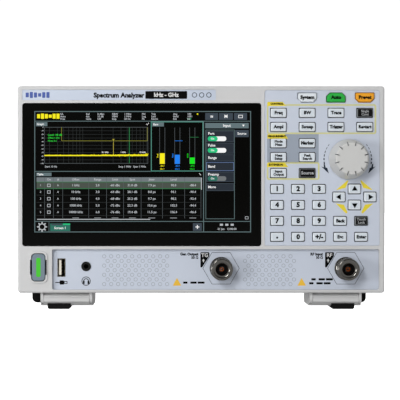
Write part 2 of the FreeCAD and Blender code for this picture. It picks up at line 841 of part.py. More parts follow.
def add_mount_bosses(body):
    """Four blind holes on a 100 mm square, each in a boss inside the back wall."""
    half = "dims.mount_spacing / 2"
    places = [(f"{i} * {half}", f"dims.mount_z + {j} * {half}") for i in (-1, 1) for j in (-1, 1)]
    start = "dims.case_depth - dims.mount_hole_depth - dims.mount_boss_floor"
    bosses = new_sketch(body, "mount_bosses", offset=start)
    holes = new_sketch(body, "mount_holes", offset="dims.case_depth")
    for number, (across, up) in enumerate(places):
        circle(bosses, f"boss_{number}", "dims.mount_boss_radius", across, up)
        circle(holes, f"hole_{number}", "dims.mount_hole_radius", across, up)
    pad(body, bosses, "dims.mount_hole_depth + dims.mount_boss_floor - dims.overlap")
    pocket(body, holes, "dims.mount_hole_depth", forwards=True)


def add_vents(body):
    """Upright slots through both sides, and radial slots over the fan."""
    vent = new_sketch(body, "vent", plane="side")
    rectangle(vent, "vent", "dims.vent_width", "dims.vent_height", "dims.vent_first_depth", "dims.vent_z")
    cut = pocket(body, vent, "dims.case_width + 2 * dims.overlap", both_ways=True)
    row_of(body, cut, vent, "H_Axis", "dims.vent_pitch * (dims.vent_count - 1)", "dims.vent_count")
    slot = new_sketch(
        body, "grille_slot", offset="dims.case_depth", across="dims.fan_x", up="dims.fan_z"
    )
    rectangle(
        slot, "slot", "dims.grille_slot_width", "dims.grille_slot_length",
        up="dims.grille_slot_inner + dims.grille_slot_length / 2",
    )
    cut = pocket(body, slot, "dims.case_wall", forwards=True)
    ring_of(body, cut, slot, "dims.grille_slot_count")


def add_screw_bosses(body):
    """Blocks inside the tongue that the side screws bite into."""
    skin = "(dims.case_width / 2 - dims.bezel_wall - dims.tongue_gap)"
    for height in ("dims.screw_low_z", "dims.screw_high_z"):
        for side in (-1, 1):
            start = f"{skin} - dims.screw_boss_reach" if side == 1 else f"-{skin}"
            boss = new_sketch(body, "screw_boss", plane="side", offset=start)
            rectangle(
                boss, "boss", "dims.screw_boss_depth", "dims.screw_boss_width", "dims.screw_depth", height
            )
            pad(body, boss, "dims.screw_boss_reach", backwards=False)
        bite = new_sketch(body, "screw_bite", plane="side")
        circle(bite, "bite", "dims.screw_radius + dims.screw_bite_gap", "dims.screw_depth", height)
        pocket(body, bite, "dims.case_width + 2 * dims.overlap", both_ways=True)


def make_display():
    """Cover glass in its seat, and the panel module behind the window."""
    glass = new_body("display_glass", "dims.glass_x", "dims.front_y + dims.glass_inset", "dims.glass_z")
    sheet = new_sketch(glass, "glass_outline")
    rectangle(sheet, "glass", "dims.glass_width", "dims.glass_height")
    plate = pad(glass, sheet, "dims.glass_thickness - dims.seat_play")
    plate = dress(glass, "Fillet", plate, corner_edges(plate, sheet), "dims.glass_corner")
    dress(glass, "Chamfer", plate, edges_in_plane(plate, sheet), "dims.glass_bevel")
    keep(glass, "display_glass")

    module = new_body("lcd_module", "dims.glass_x", "dims.front_y", "dims.glass_z")
    tray = new_sketch(module, "lcd_tray", offset="dims.lcd_depth")
    rectangle(
        tray, "tray", "dims.glass_width - dims.window_lip", "dims.glass_height - 2 * dims.window_lip"
    )
    pad(module, tray, "dims.lcd_thickness")
    face = "dims.glass_inset + dims.glass_thickness + dims.fit_gap"
    panel = new_sketch(module, "lcd_panel", offset=face)
    rectangle(
        panel, "panel", "dims.glass_width - 3 * dims.window_lip", "dims.glass_height - 3 * dims.window_lip"
    )
    pad(module, panel, f"dims.lcd_depth - ({face}) + dims.overlap")
    keep(module, "lcd_module")


def make_keypad_fascia():
    """Printed plate with a hole for every key and for the encoder bush."""
    body = new_body("keypad_fascia", y="dims.front_y + dims.fascia_inset")
    edge = new_sketch(body, "fascia_outline")
    rectangle(
        edge, "fascia", "dims.fascia_width", "dims.fascia_height", "dims.fascia_x", "dims.fascia_z"
    )
    plate = pad(body, edge, "dims.fascia_thickness - dims.seat_play")
    plate = dress(body, "Fillet", plate, corner_edges(plate, edge), "dims.fascia_corner")
    holes = new_sketch(body, "key_holes")
    for name, kind, across, up in key_layout():
        width, height = cap_size(kind)
        gap = "2 * dims.key_gap"
        rectangle(holes, name, f"{width} + {gap}", f"{height} + {gap}", across, up)
    cut = pocket(body, holes, "dims.fascia_thickness")
    bevelled = dress(
        body, "Chamfer", cut, corner_edges(cut, holes, wanted=shield_corner), "dims.shield_hole_chamfer"
    )
    rounded = corner_edges(bevelled, holes, wanted=lambda point: not shield_corner(point))
    dress(body, "Fillet", bevelled, rounded, "dims.cap_corner")
    bush = new_sketch(body, "bush_hole")
    circle(bush, "bush", "dims.bush_hole_radius", "dims.knob_x", "dims.knob_z")
    pocket(body, bush, "dims.fascia_thickness")
    keep(body, "keypad_fascia")


def make_connector_fascia():
    """Recessed plate for the front sockets, held behind the bezel's lower opening."""
    body = new_body("connector_fascia", y="dims.front_y + dims.ports_depth")
    edge = new_sketch(body, "ports_plate")
    rectangle(
        edge, "plate", "dims.ports_width + 2 * dims.ports_lap_side", "dims.ports_plate_height",
        "dims.ports_x", "dims.ports_plate_z",
    )
    pad(body, edge, "dims.ports_thickness")
    holes = new_sketch(body, "port_holes")
    for name in ("generator", "input"):
        circle(
            holes, name, "dims.port_neck_radius + dims.fit_gap", f"dims.{name}_port_x", "dims.port_z"
        )
    rectangle(
        holes, "usb", "dims.usb_width + 2 * dims.fit_gap", "dims.usb_height + 2 * dims.fit_gap",
        "dims.usb_x", "dims.usb_z",
    )
    circle(holes, "jack", "dims.jack_body_radius + dims.fit_gap", "dims.jack_x", "dims.jack_z")
    pocket(body, holes, "dims.ports_thickness")
    keep(body, "connector_fascia")


def make_key(name, kind, x, z):
    """One key: a bevelled cap, the flange that stops it behind the fascia and its switch stem."""
    label = "key_" + name
    width, height = cap_size(kind)
    body = new_body(label, x, f"dims.front_y + {KEY_FACE_DEPTH}", z)
    reach = "dims.fascia_thickness + dims.key_stop_gap + dims.cap_proud"
    cap = new_sketch(body, label + "_cap", offset=f"-({reach})")
    rectangle(cap, "cap", width, height)
    solid = pad(body, cap, reach)
    if kind.startswith("top"):
        cut_side = 1 if kind == "top_up" else -1
        cut = corner_edges(solid, cap, wanted=lambda point: point.y * cut_side > 0)
        solid = dress(body, "Chamfer", solid, cut, "dims.shield_chamfer")
        rounded = corner_edges(solid, cap, wanted=lambda point: point.y * cut_side < 0)
    else:
        rounded = corner_edges(solid, cap)
    solid = dress(body, "Fillet", solid, rounded, "dims.cap_corner")
    dress(body, "Chamfer", solid, edges_in_plane(solid, cap), "dims.cap_bevel")
    flange = new_sketch(body, label + "_flange")
    lap = "2 * (dims.key_gap + dims.key_lap)"
    rectangle(flange, "flange", f"{width} + {lap}", f"{height} + {lap}")
    pad(body, flange, "dims.key_flange")
    stem = new_sketch(body, label + "_stem")
    rectangle(stem, "stem", "dims.key_stem_width", "dims.key_stem_width")
    pad(body, stem, f"dims.keypad_board_depth - {SWITCH_SPACE} - {KEY_FACE_DEPTH}")
    keep(body, label)


def make_power_button():
    body = new_body(
        "power_button", "dims.power_x", "dims.front_y + dims.front_wall + dims.key_stop_gap", "dims.power_z"
    )
    reach = "dims.front_wall + dims.key_stop_gap + dims.power_proud"
    cap = new_sketch(body, "power_cap", offset=f"-({reach})")
    rectangle(cap, "cap", "dims.power_width", "dims.power_height")
    solid = pad(body, cap, reach)
    solid = dress(body, "Fillet", solid, corner_edges(solid, cap), "dims.power_corner")
    dress(body, "Fillet", solid, edges_in_plane(solid, cap), "dims.cap_bevel")
    flange = new_sketch(body, "power_flange")
    lap = "2 * (dims.power_gap + dims.power_lap)"
    rectangle(flange, "flange", f"dims.power_width + {lap}", f"dims.power_height + {lap}")
    pad(body, flange, "dims.power_flange")
    stem = new_sketch(body, "power_stem")
    rectangle(stem, "stem", "dims.key_stem_width", "dims.key_stem_width")
    pad(body, stem, "dims.power_stem")
    keep(body, "power_button")


def make_tuning_knob():
    """Tapered knob with notches across its rim, and the encoder shaft that it is pushed onto."""
    body = new_body("tuning_knob", "dims.knob_x", z="dims.knob_z")
    profile = new_sketch(body, "knob_profile", plane="top")
    end = "(dims.knob_base_depth - dims.knob_bore_length)"
    outline(profile, "knob", [
        ("dims.shaft_radius", "dims.knob_base_depth"),
        ("dims.knob_base_radius", "dims.knob_base_depth"),
        ("dims.knob_base_radius", "dims.knob_base_depth - dims.knob_skirt"),
        ("dims.knob_face_radius", "dims.knob_face_depth"),
        ("0", "dims.knob_face_depth"),
        ("0", end),
        ("dims.shaft_radius", end),
    ])
    solid = revolve(body, profile)
    face = DIMENSIONS["knob_face_depth"]
    rim = [
        f"Edge{number}" for number, edge in enumerate(solid.Shape.Edges, start=1)
        if abs(edge.BoundBox.YMin - face) < 1e-4 and abs(edge.BoundBox.YMax - face) < 1e-4
        and edge.BoundBox.XMax > DIMENSIONS["shaft_radius"]
    ]
    dress(body, "Fillet", solid, rim, "dims.knob_rim_round")
    notch = new_sketch(body, "knob_notch", offset="dims.knob_face_depth", turn=15.0)
    rectangle(
        notch, "notch", "dims.notch_width", "dims.notch_length",
        up="dims.notch_inner_radius + dims.notch_length / 2",
    )
    cut = pocket(body, notch, "dims.notch_depth")
    ring_of(body, cut, notch, "dims.notch_count")
    keep(body, "tuning_knob")

    tip = "dims.knob_base_depth - dims.knob_bore_length + dims.knob_shaft_gap"
    shaft = rod_y(
        "encoder_shaft", "dims.shaft_radius", f"dims.shaft_end_depth - ({tip})", "dims.knob_x",
        f"dims.front_y + {tip}", "dims.knob_z",
    )
    keep(shaft, "encoder_shaft")


def make_circuit_boards():
    """Keypad board with a switch behind every key, the encoder's body and bush, and the main board."""
    body = new_body("keypad_board", y="dims.front_y + dims.keypad_board_depth")
    edge = new_sketch(body, "keypad_board_outline")
    rectangle(
        edge, "board", "dims.fascia_width - 2 * dims.keypad_board_margin",
        "dims.fascia_height - 2 * dims.keypad_board_margin", "dims.fascia_x", "dims.fascia_z",
    )
    pad(body, edge, "dims.board_thickness")
    switches = new_sketch(body, "switches", offset="-dims.switch_rise")
    for name, _, across, up in key_layout():
        rectangle(switches, name, "dims.switch_width", "dims.switch_width", across, up)
    pad(body, switches, "dims.switch_rise")
    encoder = new_sketch(body, "encoder_body", offset="dims.encoder_depth - dims.keypad_board_depth")
    rectangle(
        encoder, "encoder", "dims.encoder_width", "dims.encoder_width", "dims.knob_x", "dims.knob_z"
    )
    pad(body, encoder, "dims.keypad_board_depth - dims.encoder_depth")
    bush = new_sketch(body, "bush", offset="dims.bush_depth - dims.keypad_board_depth")
    circle(bush, "bush", "dims.bush_radius", "dims.knob_x", "dims.knob_z")
    pad(body, bush, "dims.encoder_depth - dims.bush_depth + dims.overlap")
    bore = new_sketch(body, "bush_bore", offset="dims.bush_depth - dims.keypad_board_depth")
    circle(bore, "bore", "dims.shaft_radius + dims.shaft_running_gap", "dims.knob_x", "dims.knob_z")
    pocket(body, bore, "dims.shaft_end_depth - dims.bush_depth + dims.knob_shaft_gap")

    power = block(
        "power_switch_board",
        ("dims.power_board_width", "dims.board_thickness", "dims.power_board_height"),
        ("dims.power_x - dims.power_board_width / 2", "dims.front_y + dims.keypad_board_depth",
         "dims.power_z - dims.power_board_height / 2"),
    )
    power_switch = block(
        "power_switch",
        ("dims.power_switch_width", "dims.power_switch_rise", "dims.power_switch_width"),
        ("dims.power_x - dims.power_switch_width / 2",
         "dims.front_y + dims.keypad_board_depth - dims.power_switch_rise",
         "dims.power_z - dims.power_switch_width / 2"),
    )
    main = block(
        "main_board", ("dims.main_board_width", "dims.board_thickness", "dims.main_board_height"),
        ("-dims.main_board_width / 2", "dims.front_y + dims.main_board_depth",
         "dims.main_board_z - dims.main_board_height / 2"),
    )
    chip_face = "dims.front_y + dims.main_board_depth - dims.chip_rise"
    chips = [
        block(f"chip_{number}", (width, "dims.chip_rise", width), (left, chip_face, low))
        for number, (width, left, low) in enumerate(MAIN_CHIPS)
    ]
    main_assembly = boolean("Fuse", "main_board_assembly", main, chips)
    power_assembly = boolean("Fuse", "power_board_assembly", power, [power_switch])
    group("circuit_boards", [body, power_assembly, main_assembly])


def make_n_connectors():
    """Two identical threaded coaxial jacks through the connector fascia."""
    jacks = []
    for name in ("generator", "input"):
        body = new_body(
            name + "_jack", f"dims.{name}_port_x", "dims.front_y + dims.ports_depth", "dims.port_z"
        )
        profile = new_sketch(body, name + "_jack_profile", plane="top")
        outline(profile, "jack", [
            ("0", "dims.port_neck_length"),
            ("0", "dims.port_bore_depth - dims.port_reach"),
            ("dims.port_bore_radius", "dims.port_bore_depth - dims.port_reach"),
            ("dims.port_bore_radius", "-dims.port_reach"),
            ("dims.port_thread_radius - dims.port_chamfer", "-dims.port_reach"),
            ("dims.port_thread_radius", "dims.port_chamfer - dims.port_reach"),
            ("dims.port_thread_radius", "-dims.port_flange"),
            ("dims.port_flange_radius", "-dims.port_flange"),
            ("dims.port_flange_radius", "0"),
            ("dims.port_neck_radius", "0"),
            ("dims.port_neck_radius", "dims.port_neck_length"),
        ])
        revolve(body, profile)
        jacks.append(body)
    group("n_connectors", jacks)


def make_usb_socket():
    body = new_body(
        "usb_socket", "dims.usb_x", "dims.front_y + dims.ports_depth - dims.usb_proud", "dims.usb_z"
    )
    shell = new_sketch(body, "usb_shell")
    rectangle(shell, "shell", "dims.usb_width", "dims.usb_height")
    pad(body, shell, "dims.usb_length")
    mouth = new_sketch(body, "usb_mouth")
    rectangle(
        mouth, "mouth", "dims.usb_width - 2 * dims.usb_wall", "dims.usb_height - 2 * dims.usb_wall"
    )
    pocket(body, mouth, "dims.usb_mouth")
    tongue = new_sketch(body, "usb_tongue", offset="dims.usb_tongue_inset")
    rectangle(
        tongue, "tongue", "dims.usb_tongue_width", "dims.usb_tongue_height",
        "dims.usb_wall + dims.usb_tongue_gap + dims.usb_tongue_width / 2 - dims.usb_width / 2",
    )
    pad(body, tongue, "dims.usb_mouth - dims.usb_tongue_inset + dims.overlap")
    keep(body, "usb_socket")


def make_headphone_jack():
    body = new_body("headphone_jack", "dims.jack_x", "dims.front_y + dims.ports_depth", "dims.jack_z")
    profile = new_sketch(body, "jack_profile", plane="top")
    outline(profile, "jack", [
        ("dims.jack_bore_radius", "-dims.jack_proud"),
        ("dims.jack_radius", "-dims.jack_proud"),
        ("dims.jack_radius", "0"),
        ("dims.jack_body_radius", "0"),
        ("dims.jack_body_radius", "dims.jack_length"),
        ("dims.jack_bore_radius", "dims.jack_length"),
    ])
    revolve(body, profile)
    keep(body, "headphone_jack")


def make_rf_shield_box():
    """Closed screening can behind the test connectors."""
    corner = (
        "dims.shield_x - dims.shield_width / 2", "dims.front_y + dims.shield_depth",
        "dims.shield_z - dims.shield_height / 2",
    )
    outer = block("shield_outer", ("dims.shield_width", "dims.shield_length", "dims.shield_height"), corner)
    inner = block(
        "shield_inner",
        tuple(f"dims.shield_{side} - 2 * dims.shield_wall" for side in ("width", "length", "height")),
        tuple(f"{value} + dims.shield_wall" for value in corner),
    )
    keep(boolean("Cut", "rf_shield_cut", outer, [inner]), "rf_shield_box")


def make_fan():
    """Axial fan against the back wall: square frame with hub plate, and a seven-blade rotor."""
    start = "dims.front_y + dims.case_depth - dims.case_wall - dims.fan_thickness"
    frame = new_body("fan_frame", "dims.fan_x", start, "dims.fan_z")
    square = new_sketch(frame, "fan_square")
    rectangle(square, "square", "dims.fan_width", "dims.fan_width")
    solid = pad(frame, square, "dims.fan_thickness")
    dress(frame, "Fillet", solid, corner_edges(solid, square), "dims.fan_corner")
    duct = new_sketch(frame, "fan_duct")
    circle(duct, "duct", "dims.fan_duct_radius")
    pocket(frame, duct, "dims.fan_thickness")
    cross = new_sketch(frame, "fan_strut")
    rectangle(
        cross, "strut", "dims.fan_strut", "dims.fan_duct_radius",
        up="dims.fan_duct_radius / 2 + dims.overlap",
    )
    strut = pad(frame, cross, "dims.fan_plate")
    ring_of(frame, strut, cross, "4")
    hub = new_sketch(frame, "fan_hub")
    circle(hub, "hub", "dims.fan_hub_radius")
    pad(frame, hub, "dims.fan_plate")
    bore = new_sketch(frame, "fan_bore")
    circle(bore, "bore", "dims.fan_axle_radius + dims.fan_axle_gap")
    pocket(frame, bore, "dims.fan_plate")
    keep(frame, "fan_frame")

    rotor = new_body("fan_rotor", "dims.fan_x", start, "dims.fan_z")
    cup = new_sketch(rotor, "rotor_cup", offset="dims.fan_plate + dims.fan_front_gap")
    circle(cup, "cup", "dims.fan_hub_radius")
    pad(rotor, cup, "dims.fan_thickness - dims.fan_plate - dims.fan_front_gap - dims.fan_rear_gap")
    middle = "(dims.fan_plate + dims.fan_thickness) / 2"
    blade = new_sketch(rotor, "rotor_blade", plane="side", offset="dims.fan_hub_radius - dims.overlap")
    half = "dims.fan_blade_depth / 2"
    shift = "dims.fan_blade_shift / 2"
    thick = "dims.fan_blade_thickness"
    outline(blade, "blade", [
        (f"{middle} - {half}", f"-{shift}"),
        (f"{middle} - {half}", f"{thick} - {shift}"),
        (f"{middle} + {half}", f"{shift} + {thick}"),
        (f"{middle} + {half}", f"{shift}"),
    ])
    fin_length = "dims.fan_blade_radius - dims.fan_hub_radius + dims.overlap"
    fin = pad(rotor, blade, fin_length, backwards=False)
    ring_of(rotor, fin, cup, "dims.fan_blade_count")
    axle = new_sketch(rotor, "rotor_axle", offset="dims.fan_axle_inset")
    circle(axle, "axle", "dims.fan_axle_radius")
    pad(rotor, axle, "dims.fan_plate + dims.overlap")
    keep(rotor, "fan_rotor")


def make_leg(name, side):
    """One tilt leg, folded back under the case, with a rubber pad let into its underside."""
    body = new_body("leg_" + name, f"{side} * dims.leg_x", "dims.front_y + dims.leg_pivot_depth")
    profile = new_sketch(body, "leg_profile", plane="side", offset="-dims.leg_width / 2")
    top = "(dims.case_bottom - dims.leg_top_gap)"
    outline(profile, "leg", [
        ("-dims.leg_barrel_radius", top),
        ("-dims.leg_barrel_radius", "dims.leg_nose_z"),
        ("dims.leg_slant - dims.leg_barrel_radius", "dims.leg_under_z"),
        ("dims.leg_length - dims.leg_tip_length", "dims.leg_under_z"),
        ("dims.leg_length", "dims.leg_under_z + dims.leg_tip_rise"),
        ("dims.leg_length", top),
    ])
    solid = pad(body, profile, "dims.leg_width", backwards=False)
    pivot = DIMENSIONS["leg_pivot_z"]
    front = corner_edges(solid, profile, wanted=lambda point: point.x < 0 and point.y > pivot)
    dress(body, "Fillet", solid, front, "dims.leg_barrel_radius - dims.round_margin")

    slot_width = "(dims.lug_width + 2 * dims.lug_side_gap)"
    slot_front = "(dims.leg_barrel_radius + dims.overlap)"
    slot_back = "(dims.lug_radius + dims.lug_swing_gap)"
    slot_low = "(dims.leg_pivot_z - dims.lug_radius - dims.lug_swing_gap)"
    for end in (-1, 1):
        notch = new_sketch(
            body, "leg_notch", plane="side",
            offset=f"{end} * (dims.leg_width / 2 - {slot_width} / 2 + dims.overlap / 2)",
        )
        rectangle(
            notch, "notch", f"{slot_front} + {slot_back}", f"dims.case_bottom - {slot_low}",
            f"({slot_back} - {slot_front}) / 2", f"(dims.case_bottom + {slot_low}) / 2",
        )
        pocket(body, notch, f"{slot_width} + dims.overlap", both_ways=True)
    pintle = new_sketch(
        body, "leg_pintle", plane="side", offset="dims.pintle_inset - dims.leg_width / 2"
    )
    circle(pintle, "pintle", "dims.pintle_radius", "0", "dims.leg_pivot_z")
    pad(body, pintle, "dims.leg_width - 2 * dims.pintle_inset", backwards=False)

    barrel = DIMENSIONS["leg_barrel_radius"]
    for number in range(DIMENSIONS["leg_rib_count"]):
        rise = DIMENSIONS["leg_rib_start"] + number * DIMENSIONS["leg_rib_pitch"]
        bulge = math.sqrt(barrel ** 2 - (rise + DIMENSIONS["leg_rib_height"]) ** 2)
        reach = f"({barrel - bulge:.3f} + dims.overlap + dims.leg_rib_depth)"
        groove = new_sketch(body, "leg_groove", plane="side")
        rectangle(
            groove, "groove", reach, "dims.leg_rib_height",
            f"{reach} / 2 - dims.leg_barrel_radius - dims.overlap", f"dims.leg_pivot_z + {rise:.3f}",
        )
        pocket(body, groove, "dims.leg_width + 2 * dims.overlap", both_ways=True)

    pad_place = pad_centre(side)
    seat = new_sketch(body, "pad_seat", plane="top", across=pad_place, up="dims.pad_start")
    rectangle(seat, "seat", "dims.pad_width", "dims.pad_length", up="dims.pad_length / 2")
    pocket(body, seat, "dims.pad_top_z", forwards=True)
    keep(body, "leg_" + name)

    rubber = new_body(
        "leg_pad_" + name, f"{side} * dims.leg_x + {pad_place}",
        "dims.front_y + dims.leg_pivot_depth + dims.pad_start",
    )
    base = new_sketch(rubber, "pad_outline", plane="front")
    rectangle(base, "pad", "dims.pad_width", "dims.pad_top_z", up="dims.pad_top_z / 2")
    solid = pad(rubber, base, "dims.pad_length")
    low = corner_edges(solid, base, wanted=lambda point: point.y < DIMENSIONS["pad_corner"])
    dress(rubber, "Fillet", solid, low, "dims.pad_corner")
    keep(rubber, "leg_pad_" + name)


def pad_centre(side):
    """How far along X a rubber pad sits from the middle of its leg: towards the instrument's side."""
    return f"{side} * dims.pad_offset"


def make_rear_feet():
    """Two fixed rubber feet under the back."""
    feet = []
    for name, side in (("left", -1), ("right", 1)):
        foot = new_body("rear_foot_" + name, f"{side} * dims.rear_foot_x",
                        "dims.front_y + dims.rear_foot_depth")
        shape = new_sketch(foot, "foot_outline")
        rectangle(shape, "foot", "dims.rear_foot_width", "dims.case_bottom", up="dims.case_bottom / 2")
        solid = pad(foot, shape, "dims.rear_foot_length")
        low = corner_edges(solid, shape, wanted=lambda point: point.y < DIMENSIONS["rear_foot_corner"])
        dress(foot, "Fillet", solid, low, "dims.rear_foot_corner")
        feet.append(foot)
    group("rear_feet", feet)


def make_case_screws():
    """Four countersunk screws through the bezel's sides into the rear case."""
    screws = []
    for side in (-1, 1):
        for number, height in enumerate(("dims.screw_low_z", "dims.screw_high_z")):
            outside = f"{side} * dims.case_width / 2"
            label = f"screw_{side + 1}_{number}"
            screw = new_body(label, outside, "dims.front_y + dims.screw_depth", height)
            shank = new_sketch(screw, "shank", plane="side")
            circle(shank, "shank", "dims.screw_radius")
            pad(screw, shank, "dims.screw_length", backwards=side > 0)
            head = new_sketch(screw, "head", plane="side")
            circle(head, "head", "dims.screw_head_radius")
            pad(screw, head, "dims.screw_head_depth - dims.fit_gap", backwards=side > 0)
            slots = (("dims.drive_width", "dims.drive_length"), ("dims.drive_length", "dims.drive_width"))
            for width, length in slots:
                drive = new_sketch(screw, "drive", plane="side")
                rectangle(drive, "slot", width, length)
                pocket(screw, drive, "dims.drive_depth", both_ways=True)
            screws.append(screw)
    group("case_screws", screws)


def make_rear_sockets():
    """Network, USB device, power input and two coaxial sockets in the rear bay."""
    floor = "dims.front_y + dims.case_depth - dims.bay_depth - dims.rear_socket_length"
    full = "dims.rear_socket_length + dims.overlap"

    lan = new_body("lan_socket", "dims.lan_x", floor, "dims.bay_z")
    shape = new_sketch(lan, "lan_outline")
    rectangle(shape, "lan", "dims.lan_width", "dims.lan_height")
    pad(lan, shape, full)
    mouth = new_sketch(lan, "lan_mouth", offset=full)
    rectangle(mouth, "mouth", "dims.lan_mouth_width", "dims.lan_mouth_height")
    pocket(lan, mouth, "dims.lan_mouth_depth", forwards=True)

    usb = new_body("usb_device_socket", "dims.usb_b_x", floor, "dims.bay_z")
    shape = new_sketch(usb, "usb_b_outline")
    rectangle(shape, "usb", "dims.usb_b_width", "dims.usb_b_height")
    pad(usb, shape, full)
    mouth = new_sketch(usb, "usb_b_mouth", offset=full)
    rectangle(mouth, "mouth", "dims.usb_b_mouth", "dims.usb_b_mouth")
    pocket(usb, mouth, "dims.usb_b_mouth_depth", forwards=True)
    root = f"{full} - dims.usb_b_mouth_depth - dims.overlap"
    tongue = new_sketch(usb, "usb_b_tongue", offset=root)
    rectangle(tongue, "tongue", "dims.usb_b_tongue_width", "dims.usb_b_tongue_height")
    pad(usb, tongue, "dims.usb_b_mouth_depth + dims.overlap - dims.usb_b_tongue_inset")

    power = new_body("power_input", "dims.dc_x", floor, "dims.bay_z")
    profile = new_sketch(power, "power_profile", plane="top")
    outline(profile, "power", [
        ("0", "0"),
        ("dims.dc_radius", "0"),
        ("dims.dc_radius", full),
        ("dims.dc_bore_radius", full),
        ("dims.dc_bore_radius", f"{full} - dims.dc_bore_depth"),
        ("dims.dc_pin_radius", f"{full} - dims.dc_bore_depth"),
        ("dims.dc_pin_radius", f"{full} - dims.dc_pin_inset"),
        ("0", f"{full} - dims.dc_pin_inset"),
    ])
    revolve(power, profile)

    sockets = [lan, usb, power]
    for number in range(2):
        across = f"dims.bnc_first_x + {number} * dims.bnc_pitch"
        bnc = new_body(f"coaxial_socket_{number}", across, floor, "dims.bay_z")
        profile = new_sketch(bnc, "bnc_profile", plane="top")
        tip = "dims.rear_socket_length + dims.bnc_reach"
        outline(profile, "bnc", [
            ("0", "0"),
            ("dims.bnc_radius", "0"),
            ("dims.bnc_radius", "dims.rear_socket_length"),
            ("dims.bnc_base_radius", "dims.rear_socket_length"),
            ("dims.bnc_base_radius", "dims.rear_socket_length + dims.bnc_base_length"),
            ("dims.bnc_radius", "dims.rear_socket_length + dims.bnc_base_length"),
            ("dims.bnc_radius", tip),
            ("dims.bnc_bore_radius", tip),
            ("dims.bnc_bore_radius", f"{tip} - dims.bnc_bore_depth"),
            ("dims.bnc_insulator_radius", f"{tip} - dims.bnc_bore_depth"),
            ("dims.bnc_insulator_radius", f"{tip} - dims.bnc_insulator_inset"),
            ("0", f"{tip} - dims.bnc_insulator_inset"),
        ])
        revolve(bnc, profile)
        lugs = new_sketch(bnc, "bnc_lugs", plane="top", offset="-dims.bnc_lug_width / 2")
        across_lugs = "2 * dims.bnc_radius + 2 * dims.bnc_lug_rise"
        rectangle(lugs, "lugs", across_lugs, "dims.bnc_lug_width", up=f"{tip} - dims.bnc_lug_inset")
        pad(bnc, lugs, "dims.bnc_lug_width", backwards=False)
        sockets.append(bnc)
    group("rear_sockets", sockets)


def make_everything():
    make_sheet()
    make_front_bezel()
    make_rear_case()
    make_display()
    make_keypad_fascia()
    make_connector_fascia()
    for name, kind, x, z in key_layout():
        make_key(name, kind, x, z)
    make_power_button()
    make_tuning_knob()
    make_circuit_boards()
    make_n_connectors()
    make_usb_socket()
    make_headphone_jack()
    make_rf_shield_box()
    make_fan()
    for name, side in (("left", -1), ("right", 1)):
        make_leg(name, side)
    make_rear_feet()
    make_case_screws()
    make_rear_sockets()
    doc.recompute()


def check_everything():
    """Stops if any feature failed or any sub-part has no sound shape."""
    for item in doc.Objects:
        if "Invalid" in item.State or "Error" in item.State:
            raise RuntimeError(f"{item.Label} is {item.State}")
    for item in sub_parts:
        if item.Shape.isNull() or not item.Shape.isValid():
            raise RuntimeError(f"{item.Label} has no sound shape")


make_everything()
check_everything()
os.makedirs("parts", exist_ok=True)
for sub_part in sub_parts:
    sub_part.Shape.exportStep(f"parts/{sub_part.Label}.step")
print(len(sub_parts), "sub-parts written")
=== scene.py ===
"""Compact bench spectrum analyzer: printed panels, legends, screen, connectors, looks, light and camera."""
import json
import math
import random

import bmesh
import bpy
from mathutils import Matrix, Vector


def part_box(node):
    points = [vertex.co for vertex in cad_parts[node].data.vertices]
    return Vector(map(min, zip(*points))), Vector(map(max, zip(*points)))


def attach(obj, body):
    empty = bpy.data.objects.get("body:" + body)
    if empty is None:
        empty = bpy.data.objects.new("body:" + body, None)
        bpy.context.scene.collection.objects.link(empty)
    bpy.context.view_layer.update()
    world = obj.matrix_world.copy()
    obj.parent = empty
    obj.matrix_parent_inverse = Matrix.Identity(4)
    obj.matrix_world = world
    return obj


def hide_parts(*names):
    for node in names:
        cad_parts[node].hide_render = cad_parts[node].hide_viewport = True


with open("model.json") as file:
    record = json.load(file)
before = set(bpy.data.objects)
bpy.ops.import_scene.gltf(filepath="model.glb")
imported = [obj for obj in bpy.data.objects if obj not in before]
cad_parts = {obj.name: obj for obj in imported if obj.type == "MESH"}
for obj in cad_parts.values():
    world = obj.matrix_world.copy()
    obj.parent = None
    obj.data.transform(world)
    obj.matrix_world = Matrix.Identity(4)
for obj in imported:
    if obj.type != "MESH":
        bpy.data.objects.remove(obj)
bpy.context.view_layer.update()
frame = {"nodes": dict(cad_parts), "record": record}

MM = 0.001
INK = 0.03            # thickness of printed ink, mm
random.seed(7)


# Colour and materials

def srgb(red, green, blue):
    """Linear colour from display values of 0 to 255."""
    def linear(value):
        value /= 255.0
        return value / 12.92 if value <= 0.04045 else ((value + 0.055) / 1.055) ** 2.4
    return (linear(red), linear(green), linear(blue), 1.0)


def shade(colour, factor):
    """A colour made lighter or darker by a factor."""
    return tuple(min(1.0, channel * factor) for channel in colour[:3]) + (1.0,)


